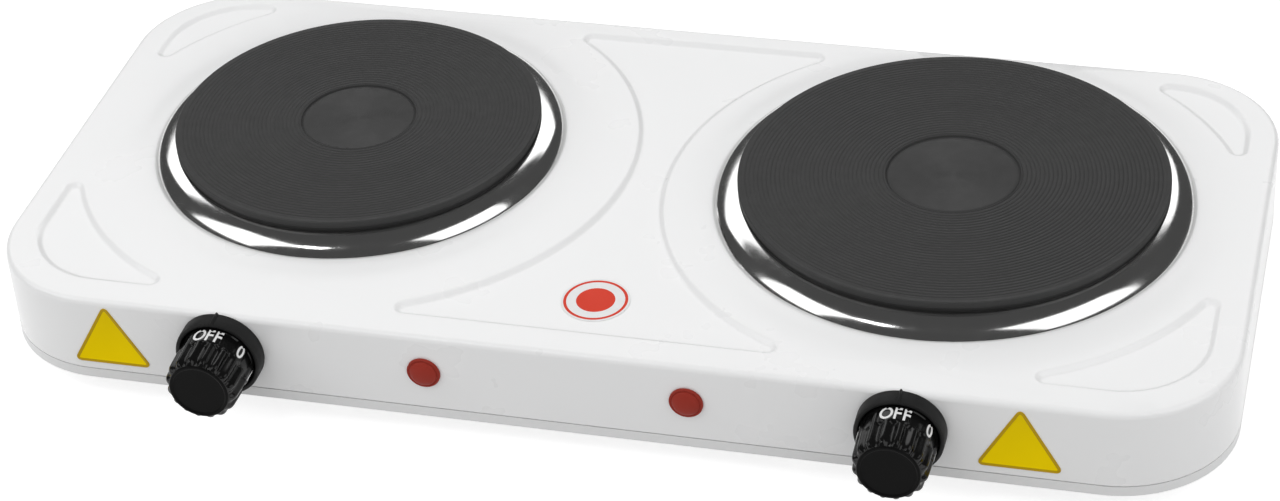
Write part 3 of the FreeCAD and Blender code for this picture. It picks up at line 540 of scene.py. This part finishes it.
@dataclass
class Burner:
    """A cast hot plate with turned grooves, and its polished trim ring.

    Args:
        name: small or large.
        x: place of its axis in millimetres.
        plate_r: radius of the plate.
        ring_r: radius of the trim ring.
        groove_pitch: distance between grooves.
        groove_depth: depth of a groove.
        recess_share: radius of the sunk disc as a share of the plate's.
        recess_depth: depth of the sunk disc.
        land: height of the plate's edge above the step.
        step: how far the step stands back.
        bevel: width of the plate's broken edge.
        crown: height of the trim ring's crown above its seat.
        slopes: slope of the ring's skirt at its inner and outer edge, in degrees.
        steps: faces round the axis.
    """

    name: str
    x: float
    plate_r: float
    ring_r: float
    groove_pitch: float = 1.75
    groove_depth: float = 0.22
    recess_share: float = 0.307
    recess_depth: float = 0.7
    land: float = 3.0
    step: float = 0.8
    bevel: float = 0.35
    crown: float = 1.8
    slopes: tuple[float, float] = (8.0, 62.0)
    steps: int = 224

    @property
    def centre(self) -> Vector:
        """The foot of the burner's axis in metres."""
        return Vector((self.x * MM, BURNER_Y * MM, 0.0))

    def groove_outline(self, start: float, end: float) -> list[tuple[float, float]]:
        """Draw rounded ridges and narrow valleys between two radii.

        Args:
            start: inner radius.
            end: outer radius.

        Returns:
            Pairs of radius and height.
        """
        count = round((end - start) / self.groove_pitch)
        pitch = (end - start) / count
        ridge = ((0.0, 1.0), (0.16, 0.45), (0.36, 0.05), (0.64, 0.05), (0.84, 0.45))
        points = []
        for index in range(count):
            for share, drop in ridge:
                points.append((start + (index + share) * pitch, PLATE_Z - self.groove_depth * drop))
        return points

    def plate(self) -> Piece:
        """Turn the plate with its sunk disc, grooves, edge and stepped rim.

        Returns:
            The plate.
        """
        disc = self.plate_r * self.recess_share
        sunk = PLATE_Z - self.recess_depth
        outline = [(0.0, sunk)]
        rings, under = 14, PLATE_Z - 18.0
        for index in range(1, rings):
            outline.append((disc * index / rings, sunk - 0.03 * (index % 2)))
        outline += [(disc - 0.5, sunk), (disc, sunk - 0.25), (disc + 0.25, sunk - 0.1), (disc + 0.45, PLATE_Z - 0.2),
                    (disc + 0.8, PLATE_Z)]
        outline += self.groove_outline(disc + 1.4, self.plate_r - self.bevel - 1.2)
        edge = self.plate_r
        seat = edge - self.step
        outline += [
            (edge - self.bevel - 1.2, PLATE_Z - 0.1), (edge - self.bevel, PLATE_Z),
            (edge - 0.3 * self.bevel, PLATE_Z - 0.25), (edge, PLATE_Z - self.bevel),
            (edge, PLATE_Z - self.land + 0.3), (edge - 0.3, PLATE_Z - self.land),
            (seat, PLATE_Z - self.land - 0.2), (seat, SEAT_Z + 0.05), (seat - 9.0, SEAT_Z + 0.05),
            (seat - 9.0, under), (0.0, under)]
        piece = Bench.lathe(f"{self.name}_plate_top", outline, self.centre, Axis.UP, self.steps)
        Bench.smooth(piece, 28.0)
        return piece

    def ring(self) -> Piece:
        """Turn the trim ring: hidden flange, rolled inner edge, crowned skirt and hem.

        Returns:
            The ring.
        """
        seat = self.plate_r - self.step + 0.15
        crown_z = SEAT_Z + self.crown
        foot_z = COLLAR_Z + 0.6
        inner = seat + 0.3
        count = 28
        drops = [0.0]
        for index in range(count):
            share = (index + 0.5) / count
            slope = self.slopes[0] + (self.slopes[1] - self.slopes[0]) * share * share
            drops.append(drops[-1] + math.tan(math.radians(slope)))
        outline = [(seat - 6.0, SEAT_Z - 0.6), (seat - 6.0, SEAT_Z), (seat, SEAT_Z + 0.1), (seat, crown_z - 0.4),
                   (seat + 0.1, crown_z - 0.12)]
        for index, drop in enumerate(drops):
            outline.append((inner + (self.ring_r - inner) * index / count,
                            crown_z - (crown_z - foot_z) * drop / drops[-1]))
        outline += [(self.ring_r + 0.05, foot_z - 0.3), (self.ring_r, COLLAR_Z + 0.02),
                    (self.ring_r - 0.6, COLLAR_Z + 0.02), (self.ring_r - 0.9, foot_z - 0.2), (seat, SEAT_Z - 0.8),
                    (seat - 6.0, SEAT_Z - 0.6)]
        piece = Bench.lathe(f"{self.name}_ring_skirt", outline, self.centre, Axis.UP, self.steps)
        Bench.smooth(piece, 50.0)
        return piece

    def build(self) -> None:
        """Make, dress and fit the plate and its ring."""
        plate = self.plate()
        turned = TurnedFinish(f"{self.name}_turned_iron", PLATE_IRON.shade, PLATE_IRON.tint, PLATE_IRON.rough,
                              PLATE_IRON.cloud, PLATE_IRON.grain, PLATE_IRON.relief,
                              specular=PLATE_IRON.specular, centre=(self.x, BURNER_Y))
        Bench.dress(plate, turned)
        Bench.fit(plate, Body.CHASSIS, "plate_iron", f"{self.name}_hot_plate")
        ring = self.ring()
        Bench.dress(ring, RING_STEEL)
        Bench.fit(ring, Body.CHASSIS, "ring_steel", f"{self.name}_trim_ring")


@dataclass
class Control:
    """A knob with printed marks, its bezel and its pilot lamp.

    Args:
        side: left or right.
        body: the body that turns with the knob.
        knob_x: place of the knob's axis in millimetres.
        lamp_x: place of the lamp's axis.
        flutes: flutes of the grip.
        strips: strips of faces from one flute to the next.
        flute_depth: depth of a flute.
        collar_end: how far in front of the wall the plain collar ends.
        pad_end: where the raised pads of the marks end.
        grip_end: where the flutes run out on the shoulder.
        grip_r: radius of the grip.
        face_r: nothing is sunk nearer to the axis than this.
        cap_r: radius of the dull cap.
        cap_reach: how far in front of the wall the cap begins.
        off_half: half width of the pad of OFF, in degrees.
        off_turns: turn of each letter of OFF, in degrees from the top.
        rib_turn: turn of the long rib before OFF.
        rib_half: its half width.
        numbers: how many numbers there are.
        number_half: half width of a number's pad.
        first_number: degrees from OFF to the first number.
        mark_turn: degrees between two numbers.
        mark_r: radius on which the marks stand.
        mark_rise: half thickness of the marks.
        mark_reach: how far in front of the wall the marks' middle is.
        mark_size: size of the marks' letters.
        mark_narrow: how much the letters are narrowed.
    """

    side: str
    body: Body
    knob_x: float
    lamp_x: float
    flutes: int = 16
    strips: int = 8
    flute_depth: float = 1.6
    collar_end: float = 6.6
    pad_end: float = 15.0
    grip_end: float = 27.2
    grip_r: float = 15.0
    face_r: float = 12.5
    cap_r: float = 12.3
    cap_reach: float = 27.3
    off_half: float = 22.5
    off_turns: tuple[float, float, float] = (-14.5, 2.0, 15.5)
    rib_turn: float = 326.25
    rib_half: float = 5.0
    numbers: int = 6
    number_half: float = 9.5
    first_number: float = 56.25
    mark_turn: float = 45.0
    mark_r: float = 15.02
    mark_rise: float = 0.16
    mark_reach: float = 11.2
    mark_size: float = 9.2
    mark_narrow: float = 0.74

    @property
    def axis(self) -> Vector:
        """The middle of the knob on the casing's front wall, in metres."""
        return Vector((self.knob_x * MM, FRONT_Y * MM, AXIS_Z * MM))

    def angle_of(self, place: Vector) -> float:
        """Give a place's turn round the knob's axis, clockwise from the top as seen from the front.

        Args:
            place: a place in metres.

        Returns:
            The turn in degrees.
        """
        return math.degrees(math.atan2(place.x - self.axis.x, place.z - self.axis.z)) % 360.0

    def knob(self) -> Piece:
        """Turn the knob's body, sink its flutes and smooth it.

        Returns:
            The knob.
        """
        outline = [
            (0.0, 4.05), (14.6, 4.05), (15.1, 4.2), (15.2, 4.6), (15.2, 6.2), (15.2, 7.0), (15.2, 7.6), (15.18, 8.6),
            (15.15, 10.0), (15.1, 12.0), (15.07, 13.6), (15.05, 14.6), (15.0, 15.4), (14.97, 16.2), (14.93, 18.0),
            (14.87, 20.0), (14.82, 22.0), (14.75, 23.6), (14.62, 24.8), (14.3, 25.8), (13.75, 26.6), (13.1, 27.1),
            (12.6, 27.35), (12.3, 27.45), (12.2, 27.55), (12.1, 27.9), (11.9, 27.97), (11.3, 27.97), (11.0, 27.85),
            (10.8, 27.55), (10.5, 27.45), (5.0, 27.45), (0.0, 27.45)]
        steps = self.flutes * self.strips
        piece = Bench.lathe(f"{self.side}_knob_grip", outline, self.axis, Axis.FORWARD, steps)
        Bench.clear()
        bpy.context.view_layer.objects.active = piece
        piece.select_set(True)
        Bench.edit()
        for share in (0.5, 0.92, 1.0):
            Bench.pick(piece, lambda place: math.isclose(self.sink(place), share))
            shrink = 1.0 - share * self.flute_depth / self.grip_r
            bpy.ops.transform.resize(value=(shrink, 1.0, shrink), center_override=self.axis)
        Bench.done()
        Bench.modify(piece, "SUBSURF", levels=2, render_levels=2)
        Bench.smooth(piece, 60.0)
        return piece

    def pad_angles(self) -> list[tuple[float, float]]:
        """Give the middle and half width of each raised pad, in degrees, and of the long rib before OFF."""
        numbers = [(self.first_number + index * self.mark_turn, self.number_half) for index in range(self.numbers)]
        return [(0.0, self.off_half), (self.rib_turn, self.rib_half)] + numbers

    def sink(self, place: Vector) -> float:
        """Say how far the grip is sunk at a place, as a share of a flute's depth.

        Args:
            place: a place on the turned knob in metres.

        Returns:
            0 on ribs and pads, 1 in the middle of a flute.
        """
        reach = (self.axis.y - place.y) / MM
        radius = math.hypot(place.x - self.axis.x, place.z - self.axis.z) / MM
        if not self.collar_end < reach < self.grip_end or radius < self.face_r:
            return 0.0
        angle = self.angle_of(place)
        if reach < self.pad_end:
            for middle, half in self.pad_angles():
                if abs((angle - middle + 180.0) % 360.0 - 180.0) < half:
                    return 0.0
            return 0.5
        strip = round(angle * self.flutes * self.strips / 360.0) % self.strips
        return {0: 1.0, 1: 0.92, 2: 0.5, self.strips - 2: 0.5, self.strips - 1: 0.92}.get(strip, 0.0)

    def mark(self, text: str, turn: float) -> Piece:
        """Print one letter or number on the knob.

        Args:
            text: the mark.
            turn: degrees clockwise from the top.

        Returns:
            The mark as a thin raised piece.
        """
        Bench.clear()
        bpy.ops.object.text_add()
        piece = bpy.context.view_layer.objects.active
        piece.data.body = text
        piece.data.size = self.mark_size * MM
        piece.data.align_x = "CENTER"
        piece.data.align_y = "CENTER"
        piece.data.offset = 0.016 * self.mark_size * MM
        piece.data.extrude = self.mark_rise * MM
        bpy.ops.object.convert(target="MESH")
        name = {"O": "letter_o", "F": "letter_f"}.get(text, f"number_{text}")
        piece = Bench.take(f"{self.side}_{name}")
        angle = math.radians(turn)
        out = Vector((math.sin(angle), 0.0, math.cos(angle)))
        right = Vector((math.cos(angle), 0.0, -math.sin(angle)))
        back = Vector((0.0, 1.0, 0.0))
        spot = self.axis + out * (self.mark_r * MM) - back * (self.mark_reach * MM)
        place = Matrix((right * self.mark_narrow, back, out)).transposed().to_4x4()
        place.translation = spot
        Bench.settle(piece, place)
        return piece

    def marks(self) -> Piece:
        """Print OFF and the numbers round the knob.

        Returns:
            All marks as one piece.
        """
        letters = [self.mark(letter, turn) for letter, turn in zip("OFF", self.off_turns)]
        numbers = [self.mark(str(value), self.first_number + value * self.mark_turn)
                   for value in range(self.numbers)]
        return Bench.join(letters + numbers, f"{self.side}_knob_marks")

    def bezel(self) -> Piece:
        """Turn the fixed cup behind the knob and add its pointed index ridge.

        Returns:
            The bezel.
        """
        outline = [(3.6, 0.02), (17.2, 0.02), (17.6, 0.3), (17.6, 3.0), (17.55, 6.3), (17.3, 6.85), (16.9, 7.0),
                   (16.2, 7.0), (15.9, 6.8), (15.82, 6.4), (15.8, 1.6), (3.6, 1.6), (3.6, 0.02)]
        cup = Bench.lathe(f"{self.side}_bezel_cup", outline, self.axis, Axis.FORWARD, 96)
        Bench.clear()
        top = self.axis + Vector((0.0, -3.5 * MM, 17.6 * MM))
        bpy.ops.mesh.primitive_cube_add(size=1.0, location=top, scale=(2.4 * MM, 6.9 * MM, 1.9 * MM))
        ridge = Bench.take(f"{self.side}_bezel_ridge")
        bpy.ops.object.transform_apply(location=True, rotation=True, scale=True)
        Bench.edit()
        Bench.pick(ridge, lambda place: place.z > top.z)
        bpy.ops.transform.resize(value=(0.22, 0.94, 1.0), center_override=top)
        bpy.ops.mesh.select_all(action="SELECT")
        bpy.ops.mesh.bevel(offset=0.18 * MM, segments=2)
        Bench.done()
        piece = Bench.join([cup, ridge], f"{self.side}_bezel_cup")
        Bench.smooth(piece, 40.0)
        return piece

    def lens(self) -> Piece:
        """Turn the lamp's domed lens with its flat rim.

        Returns:
            The lens.
        """
        rim, rise, dome, count = 1.05, 2.95, 5.6, 12
        outline = [(0.0, 0.02), (6.6, 0.02), (6.8, 0.2), (6.8, 0.85), (6.6, 1.1), (6.0, 1.15), (5.75, 1.0),
                   (dome, rim)]
        for index in range(1, count + 1):
            turn = math.pi / 2.0 * index / count
            outline.append((dome * math.cos(turn), rim + (rise - rim) * math.sin(turn)))
        foot = Vector((self.lamp_x * MM, FRONT_Y * MM, AXIS_Z * MM))
        piece = Bench.lathe(f"{self.side}_lens_dome", outline, foot, Axis.FORWARD, 72)
        Bench.smooth(piece, 40.0)
        return piece

    def build(self) -> None:
        """Make, dress and fit the knob, its marks, the bezel and the lens."""
        knob = self.knob()
        Bench.dress(knob, KNOB_PLASTIC, CAP_PLASTIC)
        for face in knob.data.polygons:
            away = (face.center - self.axis) / MM
            face.material_index = int(away.y < -self.cap_reach and math.hypot(away.x, away.z) < self.cap_r)
        Bench.fit(knob, self.body, "knob_plastic", f"{self.side}_knob")
        marks = self.marks()
        Bench.dress(marks, PRINT_WHITE)
        Bench.fit(marks, self.body, "casing_paint")
        bezel = self.bezel()
        Bench.dress(bezel, BEZEL_PLASTIC)
        Bench.fit(bezel, Body.CHASSIS, "bezel_plastic", f"{self.side}_knob_bezel")
        lens = self.lens()
        Bench.dress(lens, LENS_RED)
        Bench.fit(lens, Body.CHASSIS, "lens_red", f"{self.side}_lamp_lens")


@dataclass
class Plates:
    """Blank plates on the front wall and on the front panel.

    Args:
        triangle_x: places of the two triangular plates.
        triangle_base: level of their lower edge.
        triangle_side: length of a side before its corners are rounded.
        corner_r: how far the corners are rounded.
        edge_w: width of a triangle's raised edge.
        round_y: place of the round plate.
        round_r: its radius.
        ring_widths: widths of its rings, from the outside.
        thick: thickness of a plate.
    """

    triangle_x: tuple[float, float] = (-194.0, 174.0)
    triangle_base: float = 18.2
    triangle_side: float = 34.0
    corner_r: float = 3.4
    edge_w: float = 1.1
    round_y: float = -69.5
    round_r: float = 13.8
    ring_widths: tuple[float, float, float] = (0.9, 1.2, 3.9)
    thick: float = 0.3

    def triangle(self, name: str, x: float) -> Piece:
        """Make one triangular plate with rounded corners and a raised edge.

        Args:
            name: the plate's name.
            x: its place.

        Returns:
            The plate.
        """
        circle = self.triangle_side / math.sqrt(3.0)
        Bench.clear()
        bpy.ops.mesh.primitive_circle_add(vertices=3, radius=circle * MM, fill_type="NGON")
        piece = Bench.take(name)
        Bench.edit()
        bpy.ops.mesh.select_all(action="SELECT")
        bpy.ops.mesh.bevel(offset=self.corner_r * MM, segments=8, affect="VERTICES")
        bpy.ops.mesh.select_mode(type="FACE")
        bpy.ops.mesh.select_all(action="SELECT")
        bpy.ops.mesh.extrude_region_move(TRANSFORM_OT_translate={"value": (0.0, 0.0, self.thick * MM)})
        bpy.ops.mesh.inset(thickness=self.edge_w * MM)
        bpy.ops.mesh.inset(thickness=0.15 * MM, depth=-0.08 * MM)
        bpy.ops.mesh.select_all(action="SELECT")
        bpy.ops.mesh.normals_make_consistent(inside=False)
        Bench.done()
        Bench.dress(piece, LABEL_EDGE, LABEL_YELLOW)
        field = max(piece.data.polygons, key=lambda face: face.area * (face.center.z > 0.1 * MM))
        field.material_index = 1
        upright = Matrix.Rotation(math.pi / 2.0, 4, "X")
        middle = self.triangle_base + circle / 2.0
        Bench.settle(piece, Matrix.Translation(Vector((x, FRONT_Y, middle)) * MM) @ upright)
        Bench.smooth(piece, 30.0)
        return piece

    def disc(self) -> Piece:
        """Make the round plate with plain rings.

        Returns:
            The plate.
        """
        Bench.clear()
        bpy.ops.mesh.primitive_circle_add(vertices=96, radius=self.round_r * MM, fill_type="NGON")
        piece = Bench.take("panel_round_plate")
        Bench.edit()
        bpy.ops.mesh.select_mode(type="FACE")
        bpy.ops.mesh.select_all(action="SELECT")
        bpy.ops.mesh.extrude_region_move(TRANSFORM_OT_translate={"value": (0.0, 0.0, self.thick * MM)})
        for width in self.ring_widths:
            bpy.ops.mesh.inset(thickness=width * MM)
        bpy.ops.mesh.select_all(action="SELECT")
        bpy.ops.mesh.normals_make_consistent(inside=False)
        Bench.done()
        Bench.dress(piece, PRINT_WHITE, LABEL_RED)
        band_end = self.round_r - self.ring_widths[0]
        band_start = band_end - self.ring_widths[1]
        spot_r = self.round_r - sum(self.ring_widths)
        for face in piece.data.polygons:
            if face.normal.z < 0.5:
                continue
            corners = [piece.data.vertices[index].co.xy.length / MM for index in face.vertices]
            middle = sum(corners) / len(corners)
            in_spot = max(corners) < spot_r + 0.5
            face.material_index = int(in_spot or band_start < middle < band_end)
        Bench.settle(piece, Matrix.Translation(Vector((0.0, self.round_y, PANEL_FLOOR_Z)) * MM))
        Bench.smooth(piece, 30.0)
        return piece

    def build(self) -> None:
        """Make and fit the three plates."""
        for side, x in zip(("left", "right"), self.triangle_x):
            Bench.fit(self.triangle(f"{side}_triangle_plate", x), Body.CHASSIS, "casing_paint")
        Bench.fit(self.disc(), Body.CHASSIS, "casing_paint")


@dataclass
class Skin:
    """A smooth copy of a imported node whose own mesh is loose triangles.

    Args:
        node: the node.
        name: the copy's name.
        finish: its finish.
        degrees: edges sharper than this stay sharp.
    """

    node: str
    name: str
    finish: Finish
    degrees: float = 20.0

    def build(self, nodes: dict[str, Piece], body: Body) -> None:
        """Copy, merge, shade, dress and fit the skin.

        Args:
            nodes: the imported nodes.
            body: the body that carries it.
        """
        Bench.clear()
        piece = bpy.data.objects.new(self.name, nodes[self.node].data.copy())
        bpy.context.scene.collection.objects.link(piece)
        piece.select_set(True)
        bpy.context.view_layer.objects.active = piece
        Bench.edit()
        bpy.ops.mesh.select_all(action="SELECT")
        bpy.ops.mesh.remove_doubles(threshold=MERGE)
        Bench.done()
        Bench.smooth(piece, self.degrees)
        Bench.modify(piece, "WEIGHTED_NORMAL", mode="FACE_AREA", weight=50, keep_sharp=True)
        Bench.dress(piece, self.finish)
        Bench.fit(piece, body, self.finish.name, self.node)


@dataclass
class Studio:
    """Floor, light and camera.

    Args:
        even: strength of the even light.
        dim: its strength as glossy surfaces show it.
        lens: focal length in millimetres.
        spot: the camera's place in metres.
        yaw: the camera's heading in degrees, clockwise from +Y.
        pitch: how far it looks down.
        roll: how far it leans.
    """

    even: float = 0.35
    dim: float = 0.07
    lens: float = 89.5
    spot: tuple[float, float, float] = (0.3027, -1.0297, 0.7973)
    yaw: float = -16.43
    pitch: float = 35.84
    roll: float = 3.89

    def camera(self) -> None:
        """Add the camera at the photograph's viewing angle."""
        yaw, pitch, roll = (math.radians(value) for value in (self.yaw, self.pitch, self.roll))
        ahead = Vector((math.sin(yaw) * math.cos(pitch), math.cos(yaw) * math.cos(pitch), -math.sin(pitch)))
        right = Vector((math.cos(yaw), -math.sin(yaw), 0.0))
        down = ahead.cross(right)
        across = right * math.cos(roll) + down * math.sin(roll)
        up = right * math.sin(roll) - down * math.cos(roll)
        place = Matrix((across, up, -ahead)).transposed().to_4x4()
        place.translation = Vector(self.spot)
        data = bpy.data.cameras.new("studio_camera")
        data.lens = self.lens
        data.sensor_width = 36.0
        data.sensor_fit = "HORIZONTAL"
        data.clip_start = 0.05
        camera = bpy.data.objects.new("studio_camera", data)
        camera.matrix_world = place
        bpy.context.scene.collection.objects.link(camera)
        bpy.context.scene.camera = camera

    @staticmethod
    def lamp(name: str, spot: Vector, aim: Vector, size: tuple[float, float], watts: float,
             mirrored: bool = True) -> None:
        """Add a soft rectangular lamp.

        Args:
            name: the lamp's name.
            spot: its place in metres.
            aim: the place that it faces.
            size: its width and height.
            watts: its power.
            mirrored: whether glossy surfaces show the lamp.
        """
        data = bpy.data.lights.new(name, "AREA")
        data.shape = "RECTANGLE"
        data.size, data.size_y = size
        data.energy = watts
        lamp = bpy.data.objects.new(name, data)
        lamp.visible_glossy = mirrored
        lamp.matrix_world = Matrix.Translation(spot) @ (aim - spot).to_track_quat("-Z", "Y").to_matrix().to_4x4()
        bpy.context.scene.collection.objects.link(lamp)

    def light(self) -> None:
        """Set the even light, with a backdrop that the camera sees white, and the soft lamps."""
        world = bpy.data.worlds.new("studio_world")
        world.use_nodes = True
        tree = world.node_tree
        background = tree.nodes["Background"]
        background.inputs["Color"].default_value = (1.0, 1.0, 1.0, 1.0)
        shown = tree.nodes.new("ShaderNodeMapRange")
        shown.inputs["To Min"].default_value = self.even
        shown.inputs["To Max"].default_value = self.dim
        path = tree.nodes.new("ShaderNodeLightPath")
        tree.links.new(path.outputs["Is Glossy Ray"], shown.inputs["Value"])
        seen = tree.nodes.new("ShaderNodeMath")
        seen.operation = "MAXIMUM"
        tree.links.new(path.outputs["Is Camera Ray"], seen.inputs[0])
        tree.links.new(shown.outputs["Result"], seen.inputs[1])
        tree.links.new(seen.outputs["Value"], background.inputs["Strength"])
        bpy.context.scene.world = world
        middle = Vector((0.0, 0.0, 0.04))
        self.lamp("top_lamp", Vector((0.0, 0.1, 1.6)), middle, (2.4, 1.6), 6.4, mirrored=False)
        self.lamp("back_lamp", Vector((-0.45, 1.22, 0.98)), middle, (2.1, 0.5), 5.2)
        self.lamp("left_lamp", Vector((-1.0, -0.466, 0.862)), middle, (0.9, 1.0), 4.2)
        self.lamp("right_lamp", Vector((1.066, -0.286, 0.862)), middle, (1.1, 1.0), 5.0)
        self.lamp("front_lamp", Vector((-0.45, -0.85, 1.35)), middle, (0.3, 0.2), 1.5)
        self.lamp("fill_lamp", Vector((0.0, -1.6, 0.55)), middle, (1.6, 0.5), 2.8, mirrored=False)

    @staticmethod
    def floor() -> None:
        """Lay the pale floor."""
        Bench.clear()
        bpy.ops.mesh.primitive_plane_add(size=10.0)
        floor = Bench.take("studio_floor")
        Bench.edit()
        bpy.ops.mesh.select_all(action="SELECT")
        bpy.ops.mesh.subdivide(number_cuts=3)
        Bench.done()
        Bench.dress(floor, FLOOR_PAPER)

    def build(self) -> None:
        """Set up floor, light, camera and view."""
        self.floor()
        self.light()
        self.camera()
        bpy.context.scene.view_settings.view_transform = "Standard"


SKINS = (
    Skin("top_casing", "casing_shell", CASING_PAINT, 24.0),
    Skin("base_pan", "pan_tray", PAN_PAINT),
    Skin("cord_bush", "cord_bush_collar", BUSH_PLASTIC),
    Skin("front_left_foot", "front_left_pad", FOOT_RUBBER),
    Skin("front_right_foot", "front_right_pad", FOOT_RUBBER),
    Skin("rear_left_foot", "rear_left_pad", FOOT_RUBBER),
    Skin("rear_right_foot", "rear_right_pad", FOOT_RUBBER),
)

BURNERS = (Burner("small", -127.0, 77.5, 87.5), Burner("large", 127.0, 87.5, 98.0))

CONTROLS = (Control("left", Body.LEFT, -145.0, -61.0), Control("right", Body.RIGHT, 129.0, 45.0))


def dress_nodes(frame: dict) -> None:
    """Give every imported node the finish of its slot.

    Args:
        frame: the loaded frame.
    """
    for part in frame["record"]["subparts"]:
        node = frame["nodes"][part["node"]]
        node.data.materials.clear()
        node.data.materials.append(SLOT_FINISHES[part["material_slot"]].material())


def main() -> None:
    """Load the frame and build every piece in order."""
    logging.basicConfig(level=logging.INFO, format="%(message)s")
    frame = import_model()
    dress_nodes(frame)
    for skin in SKINS:
        skin.build(frame["nodes"], Body.CHASSIS)
    for burner in BURNERS:
        burner.build()
    for control in CONTROLS:
        control.build()
    Plates().build()
    Studio().build()


if __name__ == "__main__":
    main()
